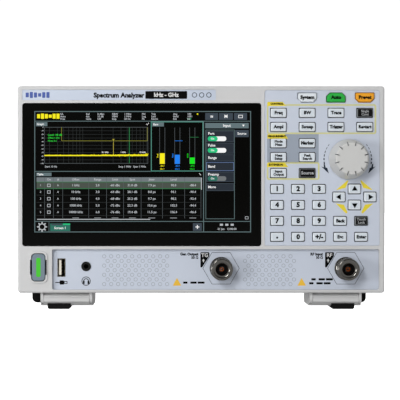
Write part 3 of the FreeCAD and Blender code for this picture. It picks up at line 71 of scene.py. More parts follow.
def surface(name, colour, roughness=0.45, metallic=0.0, mottle=0.04, grain=1600.0, bump=0.12,
            depth=0.00004, spread=0.08, gleam=0.5):
    """A moulded, cast or plated surface: slow colour drift, fine grain bump and uneven gloss."""
    material = bpy.data.materials.new(name)
    material.use_nodes = True
    nodes, links = material.node_tree.nodes, material.node_tree.links
    shader = nodes["Principled BSDF"]
    shader.inputs["Metallic"].default_value = metallic
    shader.inputs["Specular IOR Level"].default_value = gleam
    place = nodes.new("ShaderNodeTexCoord")
    drift = nodes.new("ShaderNodeTexNoise")
    drift.inputs["Scale"].default_value = 18.0
    drift.inputs["Detail"].default_value = 3.0
    links.new(place.outputs["Object"], drift.inputs["Vector"])
    ramp = nodes.new("ShaderNodeValToRGB")
    ramp.color_ramp.elements[0].position = 0.3
    ramp.color_ramp.elements[1].position = 0.7
    ramp.color_ramp.elements[0].color = shade(colour, 1.0 - mottle)
    ramp.color_ramp.elements[1].color = shade(colour, 1.0 + mottle)
    links.new(drift.outputs["Fac"], ramp.inputs["Fac"])
    links.new(ramp.outputs["Color"], shader.inputs["Base Color"])
    fine = nodes.new("ShaderNodeTexNoise")
    fine.inputs["Scale"].default_value = grain
    fine.inputs["Detail"].default_value = 2.0
    links.new(place.outputs["Object"], fine.inputs["Vector"])
    gloss = nodes.new("ShaderNodeMapRange")
    gloss.inputs["To Min"].default_value = max(0.02, roughness - spread)
    gloss.inputs["To Max"].default_value = min(1.0, roughness + spread)
    links.new(fine.outputs["Fac"], gloss.inputs["Value"])
    links.new(gloss.outputs["Result"], shader.inputs["Roughness"])
    relief = nodes.new("ShaderNodeBump")
    relief.inputs["Strength"].default_value = bump
    relief.inputs["Distance"].default_value = depth
    links.new(fine.outputs["Fac"], relief.inputs["Height"])
    links.new(relief.outputs["Normal"], shader.inputs["Normal"])
    return material


def lit(name, colour, strength=1.0):
    """A shape that the display lights up, with the pixel rows' faint unevenness."""
    material = bpy.data.materials.new(name)
    material.use_nodes = True
    nodes, links = material.node_tree.nodes, material.node_tree.links
    shader = nodes["Principled BSDF"]
    shader.inputs["Base Color"].default_value = (0.005, 0.005, 0.005, 1.0)
    shader.inputs["Roughness"].default_value = 0.25
    shader.inputs["Specular IOR Level"].default_value = 0.1
    shader.inputs["Emission Strength"].default_value = strength
    place = nodes.new("ShaderNodeTexCoord")
    rows = nodes.new("ShaderNodeTexWave")
    rows.bands_direction = "Z"
    rows.inputs["Scale"].default_value = 1100.0
    links.new(place.outputs["Object"], rows.inputs["Vector"])
    ramp = nodes.new("ShaderNodeValToRGB")
    ramp.color_ramp.elements[0].color = shade(colour, 0.94)
    ramp.color_ramp.elements[1].color = colour
    links.new(rows.outputs["Fac"], ramp.inputs["Fac"])
    links.new(ramp.outputs["Color"], shader.inputs["Emission Color"])
    return material


CASE = surface("case_plastic", srgb(201, 201, 201), 0.55, mottle=0.015, grain=2600, bump=0.25, gleam=0.3)
FASCIA = surface("fascia_film", srgb(196, 203, 216), 0.42, mottle=0.02, grain=3200, bump=0.12)
STRIP = surface("strip_film", srgb(190, 199, 214), 0.4, mottle=0.02, grain=3200, bump=0.1)
GLASS = surface("cover_glass", srgb(7, 7, 6), 0.14, mottle=0.1, grain=60, bump=0.0, spread=0.02, gleam=0.08)
KEYCAP = surface("keycap_light", srgb(222, 228, 233), 0.3, mottle=0.02, grain=2400, bump=0.08)
KEYFACE = surface("keycap_face", srgb(208, 216, 223), 0.38, mottle=0.02, grain=3000, bump=0.1)
KEYDARK = surface("keycap_rim", srgb(126, 129, 130), 0.4, mottle=0.05, grain=2400, bump=0.1)
WINDOW = surface("key_window", srgb(9, 9, 10), 0.25, mottle=0.1, grain=800, bump=0.02, gleam=0.25)
GREEN = surface("keycap_green", srgb(34, 172, 62), 0.32, mottle=0.03, grain=2400, bump=0.1)
ORANGE = surface("keycap_orange", srgb(236, 160, 30), 0.32, mottle=0.03, grain=2400, bump=0.1)
POWER = surface("power_cap", srgb(112, 128, 139), 0.4, mottle=0.04, grain=2600, bump=0.15)
KNOB = surface("knob_plastic", srgb(199, 199, 197), 0.42, mottle=0.02, grain=2600, bump=0.12)
RUBBER = surface("black_rubber", srgb(11, 11, 11), 0.75, mottle=0.15, grain=1800, bump=0.3, gleam=0.12)
BLACK = surface("black_plastic", srgb(14, 14, 14), 0.45, mottle=0.1, grain=2200, bump=0.2, gleam=0.2)
BOARD = surface("circuit_board", srgb(20, 82, 44), 0.4, mottle=0.1, grain=900, bump=0.2)
STEEL = surface("plain_steel", srgb(150, 150, 150), 0.35, metallic=1.0, mottle=0.06, grain=700, bump=0.1)
TIN = surface("tin_plate", srgb(104, 97, 84), 0.38, metallic=1.0, mottle=0.1, grain=900, bump=0.1)
NICKEL = surface(
    "nickel_plate", srgb(112, 110, 106), 0.15, metallic=1.0, mottle=0.04, grain=500, bump=0.02, spread=0.04
)
COPPER = surface("copper_contact", srgb(150, 76, 36), 0.35, metallic=1.0, mottle=0.1, grain=900, bump=0.05)
# dark insulator colour; it also colours the metal contact sleeves, as painted shade inside the jack mouths
INSULATOR_AND_SHADE = surface("bead_insulator_and_shade", srgb(14, 11, 9), 0.5, mottle=0.1, grain=900, bump=0.1, gleam=0.15)
CREAM = surface("cream_plastic", srgb(226, 220, 204), 0.45, mottle=0.04, grain=1800, bump=0.15)
INK_BLACK = surface("ink_black", srgb(8, 8, 9), 0.65, mottle=0.08, grain=3000, bump=0.1, gleam=0.04)
INK_SLATE = surface("ink_slate", srgb(38, 47, 60), 0.6, mottle=0.08, grain=3000, bump=0.1, gleam=0.1)
INK_GREY = surface("ink_grey", srgb(146, 153, 163), 0.55, mottle=0.05, grain=3000, bump=0.1)
INK_BLUE = surface("ink_blue", srgb(52, 76, 150), 0.5, mottle=0.06, grain=3000, bump=0.1)
INK_WHITE = surface("ink_white", srgb(214, 214, 214), 0.5, mottle=0.03, grain=3000, bump=0.1)
INK_DIM = surface("ink_dim", srgb(158, 160, 162), 0.5, mottle=0.03, grain=3000, bump=0.1)
INK_YELLOW = surface("ink_yellow", srgb(226, 206, 44), 0.5, mottle=0.04, grain=3000, bump=0.1)
INK_AMBER = surface("ink_amber", srgb(232, 184, 52), 0.5, mottle=0.04, grain=3000, bump=0.1)
INK_OLIVE = surface("ink_olive", srgb(202, 200, 140), 0.5, mottle=0.04, grain=3000, bump=0.1)
INK_BAND = surface("ink_band", srgb(148, 157, 170), 0.5, mottle=0.03, grain=3000, bump=0.1)
LIGHT_BAR = lit("power_light", srgb(82, 214, 60), 0.85)


# Mesh helpers

def new_piece(name, mesh, material, body):
    """A mesh made into a visible piece that rides on one body."""
    piece = bpy.data.objects.new(name, mesh)
    bpy.context.scene.collection.objects.link(piece)
    mesh.materials.clear()
    mesh.materials.append(material)
    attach(piece, body)
    return piece


def smooth(mesh, angle=35.0):
    """Shades a mesh smooth except at its sharp edges."""
    mesh.polygons.foreach_set("use_smooth", [True] * len(mesh.polygons))
    mesh.set_sharp_from_angle(angle=math.radians(angle))


def arc_points(x, z, radius, start, end, steps):
    """Points of an arc; angles in degrees, anticlockwise from +X as seen from the front."""
    turns = [math.radians(start + (end - start) * i / steps) for i in range(steps + 1)]
    return [(x + radius * math.cos(turn), z + radius * math.sin(turn)) for turn in turns]


def rounded_loop(left, low, right, high, radius, steps=6):
    """Corner points of a rounded rectangle, anticlockwise as seen from the front."""
    corners = (
        (right - radius, high - radius, 0), (left + radius, high - radius, 90),
        (left + radius, low + radius, 180), (right - radius, low + radius, 270),
    )
    loop = []
    for x, z, start in corners:
        loop += arc_points(x, z, radius, start, start + 90, steps)
    return loop


class Prints:
    """Thin flat shapes that share one front-facing plane, one material and one body; sizes in mm."""

    def __init__(self, plane, thickness=INK):
        self.mesh = bmesh.new()
        self.front = (plane - thickness) * MM
        self.back = plane * MM

    def shape(self, points):
        """A filled outline with square sides."""
        front = [self.mesh.verts.new((x * MM, self.front, z * MM)) for x, z in points]
        back = [self.mesh.verts.new((x * MM, self.back, z * MM)) for x, z in points]
        self.mesh.faces.new(front)
        self.mesh.faces.new(list(reversed(back)))
        for i in range(len(points)):
            following = (i + 1) % len(points)
            self.mesh.faces.new((front[following], front[i], back[i], back[following]))

    def box(self, left, low, right, high):
        self.shape([(left, low), (right, low), (right, high), (left, high)])

    def rounded(self, left, low, right, high, radius):
        self.shape(rounded_loop(left, low, right, high, radius))

    def band(self, outer, inner):
        """The area between two loops with equally many points."""
        rings = []
        for loop in (outer, inner):
            for depth in (self.front, self.back):
                rings.append([self.mesh.verts.new((x * MM, depth, z * MM)) for x, z in loop])
        outer_front, outer_back, inner_front, inner_back = rings
        for i in range(len(outer)):
            j = (i + 1) % len(outer)
            self.mesh.faces.new((outer_front[i], outer_front[j], inner_front[j], inner_front[i]))
            self.mesh.faces.new((outer_back[j], outer_back[i], inner_back[i], inner_back[j]))
            self.mesh.faces.new((outer_front[j], outer_front[i], outer_back[i], outer_back[j]))
            self.mesh.faces.new((inner_front[i], inner_front[j], inner_back[j], inner_back[i]))

    def frame(self, left, low, right, high, width, radius=0.01):
        inside = max(radius - width, 0.005)
        self.band(
            rounded_loop(left, low, right, high, radius),
            rounded_loop(left + width, low + width, right - width, high - width, inside),
        )

    def ring(self, x, z, radius, width, steps=20):
        self.band(arc_points(x, z, radius, 0, 360 - 360 / steps, steps - 1),
                  arc_points(x, z, radius - width, 0, 360 - 360 / steps, steps - 1))

    def disc(self, x, z, radius, steps=20):
        self.shape(arc_points(x, z, radius, 0, 360 - 360 / steps, steps - 1))

    def line(self, points, width):
        """A stroke of even width through points, mitred at its bends."""
        half = width / 2
        left, right = [], []
        for i, (x, z) in enumerate(points):
            before = points[max(i - 1, 0)]
            after = points[min(i + 1, len(points) - 1)]
            along_x, along_z = after[0] - before[0], after[1] - before[1]
            length = math.hypot(along_x, along_z) or 1.0
            across = (-along_z / length * half, along_x / length * half)
            left.append((x + across[0], z + across[1]))
            right.append((x - across[0], z - across[1]))
        for i in range(len(points) - 1):
            self.shape([right[i], right[i + 1], left[i + 1], left[i]])

    def arc(self, x, z, radius, start, end, width, steps=12):
        self.line(arc_points(x, z, radius, start, end, steps), width)

    def words(self, text, x, z, size, align="CENTER", weight=0.0, turn=0.0):
        """Plain lettering; size is the letters' full height, and turn is in degrees."""
        curve = bpy.data.curves.new("words", "FONT")
        curve.body = text
        curve.size = size * MM * 1.35
        curve.align_x = align
        curve.align_y = "CENTER"
        curve.offset = weight * size * MM * 0.04
        curve.extrude = (self.back - self.front) / 2
        curve.resolution_u = 2
        item = bpy.data.objects.new("words", curve)
        mesh = bpy.data.meshes.new_from_object(item)
        tilt = Matrix.Rotation(math.radians(turn), 4, "Y") @ Matrix.Rotation(math.pi / 2, 4, "X")
        mesh.transform(Matrix.Translation((x * MM, (self.front + self.back) / 2, z * MM)) @ tilt)
        self.mesh.from_mesh(mesh)
        bpy.data.objects.remove(item)
        bpy.data.curves.remove(curve)
        bpy.data.meshes.remove(mesh)

    def piece(self, name, material, body="case"):
        bmesh.ops.remove_doubles(self.mesh, verts=self.mesh.verts, dist=1e-7)
        bmesh.ops.recalc_face_normals(self.mesh, faces=self.mesh.faces)
        mesh = bpy.data.meshes.new(name)
        self.mesh.to_mesh(mesh)
        self.mesh.free()
        return new_piece(name, mesh, material, body)


def lathe(name, profile, x, z, material, body="case", steps=64, closed=True, angle=30.0):
    """Turns (radius, y) points in mm about an axis along Y."""
    mesh = bmesh.new()
    rings = []
    for radius, y in profile:
        if radius < 1e-6:
            rings.append([mesh.verts.new((x * MM, y * MM, z * MM))])
            continue
        rings.append([
            mesh.verts.new((
                (x + radius * math.cos(2 * math.pi * i / steps)) * MM, y * MM,
                (z + radius * math.sin(2 * math.pi * i / steps)) * MM,
            ))
            for i in range(steps)
        ])
    pairs = list(zip(rings, rings[1:]))
    if closed and len(rings[0]) > 1:
        pairs.append((rings[-1], rings[0]))
    for first, second in pairs:
        for i in range(steps):
            j = (i + 1) % steps
            if len(first) == 1 and len(second) == 1:
                break
            if len(first) == 1:
                mesh.faces.new((first[0], second[i], second[j]))
            elif len(second) == 1:
                mesh.faces.new((first[i], first[j], second[0]))
            else:
                mesh.faces.new((first[i], first[j], second[j], second[i]))
    bmesh.ops.recalc_face_normals(mesh, faces=mesh.faces)
    data = bpy.data.meshes.new(name)
    mesh.to_mesh(data)
    mesh.free()
    smooth(data, angle)
    return new_piece(name, data, material, body)


def prism(name, loop, front, back, material, body, bevel=0.0, segments=3):
    """A solid of one outline between two depths, in mm, with rounded front and back edges."""
    prints = Prints(back, back - front)
    prints.shape(loop)
    piece = prints.piece(name, material, body)
    if bevel:
        modifier = piece.modifiers.new("edge", "BEVEL")
        modifier.width = bevel * MM
        modifier.segments = segments
        modifier.limit_method = "ANGLE"
        modifier.angle_limit = math.radians(50)
    smooth(piece.data, 40)
    return piece


# Places in mm, read from the CAD frame

def box_mm(node):
    """Low and high corners of a node's box."""
    low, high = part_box(node)
    return [value / MM for value in low], [value / MM for value in high]


def middle(node):
    """Centre of a node's box."""
    low, high = box_mm(node)
    return [(a + b) / 2 for a, b in zip(low, high)]


GLASS_INSET = 0.3        # how far the cover glass lies behind the bezel's face, mm
GLASS_LOW, GLASS_HIGH = box_mm("display_glass")
PORTS_LOW, PORTS_HIGH = box_mm("connector_fascia")
GLASS_FRONT = GLASS_LOW[1]
KEYPAD_FRONT = box_mm("keypad_fascia")[0][1]
PORTS_FRONT = PORTS_LOW[1]
BEZEL_FRONT = GLASS_FRONT - GLASS_INSET
CASE_HIGH = box_mm("rear_case")[1]


# CAD nodes' materials

def dress_nodes():
    """Give every CAD node its material; the caps that aren't listed are light ones."""
    special = {
        "front_bezel": CASE, "rear_case": CASE, "display_glass": GLASS, "lcd_module": STEEL,
        "keypad_fascia": FASCIA, "connector_fascia": FASCIA, "circuit_boards": BOARD,
        "rf_shield_box": STEEL, "fan_frame": BLACK, "fan_rotor": BLACK, "headphone_jack": BLACK,
        "rear_feet": RUBBER, "case_screws": STEEL, "leg_left": CASE, "leg_right": CASE,
        "leg_pad_left": RUBBER, "leg_pad_right": RUBBER, "tuning_knob": KNOB, "encoder_shaft": STEEL,
        "power_button": POWER, "key_auto": GREEN, "key_preset": ORANGE, "key_single_continue": KEYDARK,
        "key_source": KEYDARK, "key_touch_lock": KEYDARK, "rear_sockets": TIN, "usb_socket": TIN,
        "n_connectors": NICKEL,
    }
    for name, node in frame["nodes"].items():
        node.data.materials.clear()
        node.data.materials.append(special.get(name, KEYCAP))


# Keypad

LEGENDS = {
    "system": "System", "auto": "Auto", "preset": "Preset",
    "frequency": "Freq", "bandwidth": "BW", "trace": "Trace", "single_continue": "Single\nCont",
    "amplitude": "Ampl", "sweep": "Sweep", "trigger": "Trigger", "restart": "Restart",
    "mode_measure": "Mode\nMeas", "marker": "Marker", "measure_setup": "Meas\nSetup",
    "peak_search": "Peak\nSearch", "input_output": "Input\nOutput", "source": "Source",
    "one": "1", "two": "2", "three": "3", "four": "4", "five": "5", "six": "6", "seven": "7",
    "eight": "8", "nine": "9", "point": ".", "zero": "0", "sign": "+/-", "back": "Back",
    "touch_lock": "Touch\nLock", "escape": "Esc", "enter": "Enter",
}
ARROWS = {"up": 90, "down": 270, "left": 180, "right": 0}
TOP_KEYS = ("auto", "preset", "system")
DARK_KEYS = ("single_continue", "source", "touch_lock")
REAR_BAY_DEPTH = 14.0    # depth of the rear sockets' bay, mm
NOTCH_DEPTH = 1.5        # how deep the knob's notches are, mm
KEY_CORNER = 0.5         # corner radius of a cap, mm
FLANGE_REACH = 1.2       # how far a key's flange stands out beyond its cap, mm
POWER_REACH = 1.25       # the same for the power button's flange, mm
POWER_CORNER = 2.5       # corner radius of the power button's cap, mm
GAP_SHADE_MARGIN = 0.15       # how far the outer edge of a painted gap shade band lies inside the flange, mm
ARROW_RADIUS = 2.35      # from the middle to the corners of a cursor key's arrow, mm
NOTCH_ENDS = (9.4, 12.4) # radii between which the painted shade line on a knob notch's floor runs, mm
OPENING_INSET = 0.6      # how far a key's opening lies inside its flange, mm


def flange_front(node):
    """Depth in mm of the flange behind a cap: the foremost corner of the node's widest part."""
    low, _ = box_mm(node)
    corners = [corner.co / MM for corner in frame["nodes"][node].data.vertices]
    return min(corner.y for corner in corners if corner.x < low[0] + 0.05)


def painted_gap_shade(node, reach, corner):
    """Painted shade: a thin dark band on a cap's flange, standing for the shade in the gap round the cap."""
    low, high = box_mm(node)
    gap_shade = Prints(flange_front(node), 0.05)
    outer, inner = GAP_SHADE_MARGIN, reach - 0.02

    def loop(margin, radius):
        return rounded_loop(low[0] + margin, low[2] + margin, high[0] - margin, high[2] - margin, radius)

    gap_shade.band(loop(outer, corner + inner - outer), loop(inner, corner))
    gap_shade.piece(node + "_seal", RUBBER, node)


def key_faces():
    """A slightly sunk centre panel and a legend on every cap."""
    for node in sorted(name for name in frame["nodes"] if name.startswith("key_")):
        name = node[4:]
        low, high = box_mm(node)
        x, _, z = middle(node)
        left, right = low[0] + FLANGE_REACH, high[0] - FLANGE_REACH
        bottom, top = low[2] + FLANGE_REACH, high[2] - FLANGE_REACH
        face = low[1]
        inset = 0.35 if name in DARK_KEYS else 0.95
        if name not in TOP_KEYS:
            # painted shade: a dark band on the flange darkens the gap round the cap
            painted_gap_shade(node, FLANGE_REACH, KEY_CORNER)
            panel = Prints(face, 0.04)
            panel.rounded(left + inset, bottom + inset, right - inset, top - inset, 0.35)
            panel.piece(node + "_panel", WINDOW if name in DARK_KEYS else KEYFACE, node)
        legend = Prints(face - 0.04)
        if name in ARROWS:
            turn = ARROWS[name]
            legend.shape([
                (x + ARROW_RADIUS * math.cos(math.radians(turn + step)),
                 z + ARROW_RADIUS * math.sin(math.radians(turn + step)))
                for step in (0, 120, 240)
            ])
        else:
            lines = LEGENDS[name].split("\n")
            if name == "point":
                legend.disc(x, z - 0.5, 0.75)
            elif len(lines) == 1:
                size = 2.6 if name in TOP_KEYS else 2.35
                if len(lines[0]) == 1 or name == "sign":
                    size = 3.5
                legend.words(lines[0], x, z, size, weight=1.2 if name in DARK_KEYS else 2.0)
            else:
                for line, rise in zip(lines, (1.15, -1.15)):
                    legend.words(line, x, z + rise, 1.85, weight=0.8 if name in DARK_KEYS else 1.8)
        ink = INK_DIM if name in DARK_KEYS else INK_BLACK
        legend.piece(node + "_legend", ink, node)


def keypad_print():
    """Section frames, section tabs, cursor wedges and the knob's turning marks."""
    def key(name):
        return middle("key_" + name)

    first = key("frequency")
    last = key("restart")
    second = key("marker")
    left, right = first[0] - 8.4, last[0] + 8.3
    control_top, control_low = first[2] + 6.3, last[2] - 5.1
    olive = Prints(KEYPAD_FRONT)
    olive.frame(left, control_low, right, control_top, 1.15, 1.5)
    extension = key("source")
    extension_top, extension_low = extension[2] + 7.9, extension[2] - 4.9
    section_right = second[0] + 8.9
    olive.frame(left, extension_low, section_right, extension_top, 1.15, 1.5)
    olive.piece("section_frames", INK_OLIVE)

    band = Prints(KEYPAD_FRONT)
    low, high = key("peak_search")[2] - 3.75, control_low - 0.05
    openings = [box_mm("key_" + name) for name in ("measure_setup", "mode_measure", "peak_search", "marker")]
    edges = [left + 0.2]
    for column in (openings[:2], openings[2:]):
        start, end = column[0][0][0] + OPENING_INSET, column[0][1][0] - OPENING_INSET
        levels = [low]
        for corner_low, corner_high in column:
            levels += [corner_low[2] + OPENING_INSET, corner_high[2] - OPENING_INSET]
        levels.append(high)
        for bottom, top in zip(levels[::2], levels[1::2]):
            if top > bottom:
                band.box(start, bottom, end, top)
        edges += [start, end]
    edges.append(section_right - 0.6)
    for start, end in zip(edges[::2], edges[1::2]):
        band.box(start, low, end, high)
    band.piece("measurement_band", INK_BAND)

    tabs = Prints(KEYPAD_FRONT - INK)
    words = Prints(KEYPAD_FRONT - 2 * INK)
    heights = (
        (control_top - 1.3, control_top + 1.7, "CONTROL", 14.0, 2.7),
        (control_low - 3.3, control_low - 0.1, "MEASUREMENT", 15.5, 0.7),
        (extension_top - 3.6, extension_top - 0.3, "EXTENSION", 15.5, 1.4),
    )
    for low, high, text, width, start in heights:
        tabs.shape([(left + 0.3, low), (left + width, low), (left + width - 2.6, high),
                    (left + 0.9, high), (left + 0.3, high - 0.6)])
        words.words(text, left + start, (low + high) / 2, 1.42, "LEFT", weight=2.2)
    tabs.piece("section_tabs", INK_YELLOW)
    words.piece("section_names", INK_BLACK)

    wedges = Prints(KEYPAD_FRONT)
    x, z = key("up")[0], (key("up")[2] + key("down")[2]) / 2
    for side in (-1, 1):
        for rise, corner in ((1, ((4.6, 12.3), (13.4, 4.9), (6.4, 6.6), (4.5, 11.1))),
                             (-1, ((5.9, 12.1), (4.9, 11.0), (7.7, 5.6), (13.6, 4.6)))):
            wedges.shape([(x + side * a, z + rise * b) for a, b in corner])
    wedges.piece("cursor_wedges", INK_YELLOW)

    marks = Prints(KEYPAD_FRONT)
    x, _, z = middle("tuning_knob")
    x -= 0.7
    for side, shift in ((-1, 0.0), (1, 1.0)):
        for step in range(6):
            start = 141 + 9 * step
            angles = (start, start + 5.5)
            if side > 0:
                angles = tuple(180 - angle for angle in angles)
            marks.arc(x, z, 17.2, *angles, 0.35 + 0.1 * step, steps=3)
        arrow = ((13.7, -10.4), (19.2, -5.2), (17.2, -6.0), (17.5, -3.4), (16.6, -3.4), (15.9, -6.2),
                 (14.9, -6.2))
        marks.shape([(x + side * (a + shift), z + b) for a, b in arrow])
    marks.piece("turning_marks", INK_SLATE)


def knob_notch_shade():
    """Painted shade: dark lines on the floors of the knob's notches, where the notches hold shadow."""
    low, _ = box_mm("tuning_knob")
    x, _, z = middle("tuning_knob")
    lines = Prints(low[1] + NOTCH_DEPTH)
    for number in range(12):
        turn = math.radians(15 + 30 * number)
        ends = [(x + radius * math.cos(turn), z + radius * math.sin(turn)) for radius in NOTCH_ENDS]
        lines.line(ends, 0.4)
    lines.piece("knob_notch_shade", INK_SLATE, "tuning_knob")


# Name strip

def name_strip():
    """Film strip over the display with a plain bar mark and generic words."""
    left, right, low, high = -129.4, 10.6, 151.8, 159.3
    prism("name_strip", rounded_loop(left, low, right, high, 0.8), BEZEL_FRONT + 0.25,
          BEZEL_FRONT + 0.5, STRIP, "case", 0.08, 2)
    face = BEZEL_FRONT + 0.25
    middle_z = (low + high) / 2
    bars = Prints(face)
    for number in range(6):
        tall = 2.2 + 2.2 * abs(math.sin(0.9 * number + 0.6))
        x = left + 2.4 + number * 3.0
        bars.rounded(x, middle_z - tall / 2, x + 2.3, middle_z + tall / 2, 0.4)
    bars.piece("bar_mark", INK_BLUE)
    words = Prints(face)
    words.words("Spectrum Analyzer", left + 51.6, middle_z - 0.3, 3.5, "LEFT", weight=1.8)
    words.piece("name_words", INK_BLACK)
    badge = Prints(face)
    badge.rounded(left + 89.0, middle_z - 2.8, left + 119.2, middle_z + 2.8, 0.5)
    badge.piece("range_badge", INK_BLACK)
    text = Prints(face - INK)
    text.words("kHz - GHz", left + 104.1, middle_z, 3.0, weight=1.4)
    text.piece("range_words", INK_WHITE)
    rings = Prints(face)
    for number in range(3):
        rings.ring(left + 124.5 + 5.2 * number, middle_z, 1.9, 0.5)
    rings.piece("ring_mark", INK_SLATE)


# Connector panel

def ports_print():
    """Hexagons, flags, dot fields, triangles and symbols on the recessed panel."""
    thin = Prints(PORTS_FRONT)
    flags = Prints(PORTS_FRONT)
    white = Prints(PORTS_FRONT - INK)
    words = Prints(PORTS_FRONT)
    triangles = Prints(PORTS_FRONT)
    jacks = {"TG": port_centre(0), "RF": port_centre(1)}
    for name, (x, z) in jacks.items():
        across = 13.4
        outer = arc_points(x, z, across, 0, 300, 5)
        inner = arc_points(x, z, across - 0.35, 0, 300, 5)
        thin.band(outer, inner)
        left = x - 15.0
        flags.shape([
            (left, z + 0.9), (left + 0.5, z + 0.5), (left + 1.4, z + 0.9), (left + 6.5, z + 8.9),
            (left + 6.5, z + 11.2), (left + 6.0, z + 11.7), (left + 0.5, z + 11.7), (left, z + 11.2),
        ])
        white.words(name, left + 3.15, z + 9.4, 2.8, weight=0.8)
        white.shape([(left + 2.2, z + 6.9), (left + 1.2, z + 5.6), (left + 3.2, z + 5.6)])
        white.box(left + 1.85, z + 4.4, left + 2.55, z + 5.6)
        triangle_x = x - 32.0
        triangles.shape([(triangle_x - 3.1, z - 12.6), (triangle_x + 3.1, z - 12.6),
                         (triangle_x, z - 7.0)])
    for name, lead in (("TG", "Gen Output"), ("RF", "RF Input")):
        x, z = jacks[name]
        words.words(lead, x - 16.6, z + 10.2, 1.95, "RIGHT", weight=2.0)
        words.words("50 Ω", x - 16.6, z + 7.7, 1.8, "RIGHT", weight=1.8)
        rows = ((-10.4, -27.6),) if name == "TG" else ((-8.0, -25.0), (-10.9, -26.6))
        for rise, start in rows:
            for number, length in enumerate((3.2, 4.6, 5.0)):
                words.rounded(x + start + 5.3 * number, z + rise - 0.75, x + start + 5.3 * number + length,
                              z + rise + 0.75, 0.3)
    symbols(words)
    dots = Prints(PORTS_FRONT)
    dot_field(dots, -70.4, 10, 9)
    dot_field(dots, 34.4, 7, 8)
    thin.piece("jack_hexagons", INK_SLATE)
    flags.piece("jack_flags", INK_BLACK)
    white.piece("jack_names", INK_WHITE)
    words.piece("panel_words", INK_BLACK)
    triangles.piece("panel_triangles", INK_AMBER)
    dots.piece("dot_fields", INK_GREY)


def dot_field(dots, left, even_count, odd_count):
    """Seven staggered rows of small rings."""
    top = PORTS_HIGH[2] - 6.8
    pitch = 5.08
    for row in range(7):
        count = even_count if row % 2 == 0 else odd_count
        shift = 0.0 if row % 2 == 0 else (pitch / 2 if odd_count < even_count else -pitch / 2)
        for number in range(count):
            dots.ring(left + shift + number * pitch, top - row * 3.36, 1.4, 0.32, 16)


def symbols(words):
    """Plain plug and headphone pictograms under their sockets."""
    x, _, z = middle("usb_socket")
    z -= 10.8
    words.line([(x - 4.4, z), (x - 1.2, z)], 0.7)
    words.rounded(x - 1.3, z - 1.5, x + 1.9, z + 1.5, 0.5)
    words.frame(x + 1.8, z - 1.0, x + 4.3, z + 1.0, 0.5)
    x, _, z = middle("headphone_jack")
    z -= 10.7
    words.ring(x, z, 3.3, 0.5, 28)
    words.arc(x, z - 0.1, 1.8, -10, 190, 0.6, 12)
    for side in (-1, 1):
        words.box(x + side * 1.7 - 0.65, z - 2.0, x + side * 1.7 + 0.65, z + 0.2)


def port_centre(number):
    """Centres of the two coaxial jacks, from the record's mounts."""
    names = ("generator_thread", "input_thread")
    mount = next(m for m in frame["record"]["mounts"] if m["name"] == names[number])
    return mount["pos_m"][0] / MM, mount["pos_m"][2] / MM


# Sockets

def coaxial_jacks():
    """Threaded shells with their insulators, contact sleeves painted dark as shade in the mouths, and split
    centre contacts.
    """
    low, high = box_mm("n_connectors")
    front, back = low[1], high[1]
    for number, name in enumerate(("generator", "input")):
        x, z = port_centre(number)
        threaded_shell(name + "_jack_shell", x, z, front, back)
        lathe(name + "_jack_bead", [(1.9, front + 9.3), (4.05, front + 9.3), (4.05, front + 6.6),
                                    (3.3, front + 6.2), (1.9, front + 6.2)], x, z, INSULATOR_AND_SHADE)
        # painted shade: the metal contact sleeve takes the dark insulator colour, for the shade inside the
        # mouth
        lathe(name + "_jack_shaded_sleeve", [(3.7, front + 6.5), (4.05, front + 6.5), (4.05, front + 3.6),
                                      (3.9, front + 3.4), (3.7, front + 3.6)], x, z, INSULATOR_AND_SHADE)
        split_contact(name + "_jack_contact", x, z, front + 3.8, front + 9.2)
    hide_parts("n_connectors")
    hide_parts("n_connectors")


def split_contact(name, x, z, front, back):
    """Four spring fingers of a centre contact."""
    fingers = Prints(back, back - front)
    for number in range(4):
        start = 90 * number + 10
        outer = arc_points(x, z, 1.55, start, start + 70, 6)
        inner = arc_points(x, z, 0.85, start + 70, start, 6)
        fingers.shape(outer + inner)
    fingers.piece(name, COPPER)


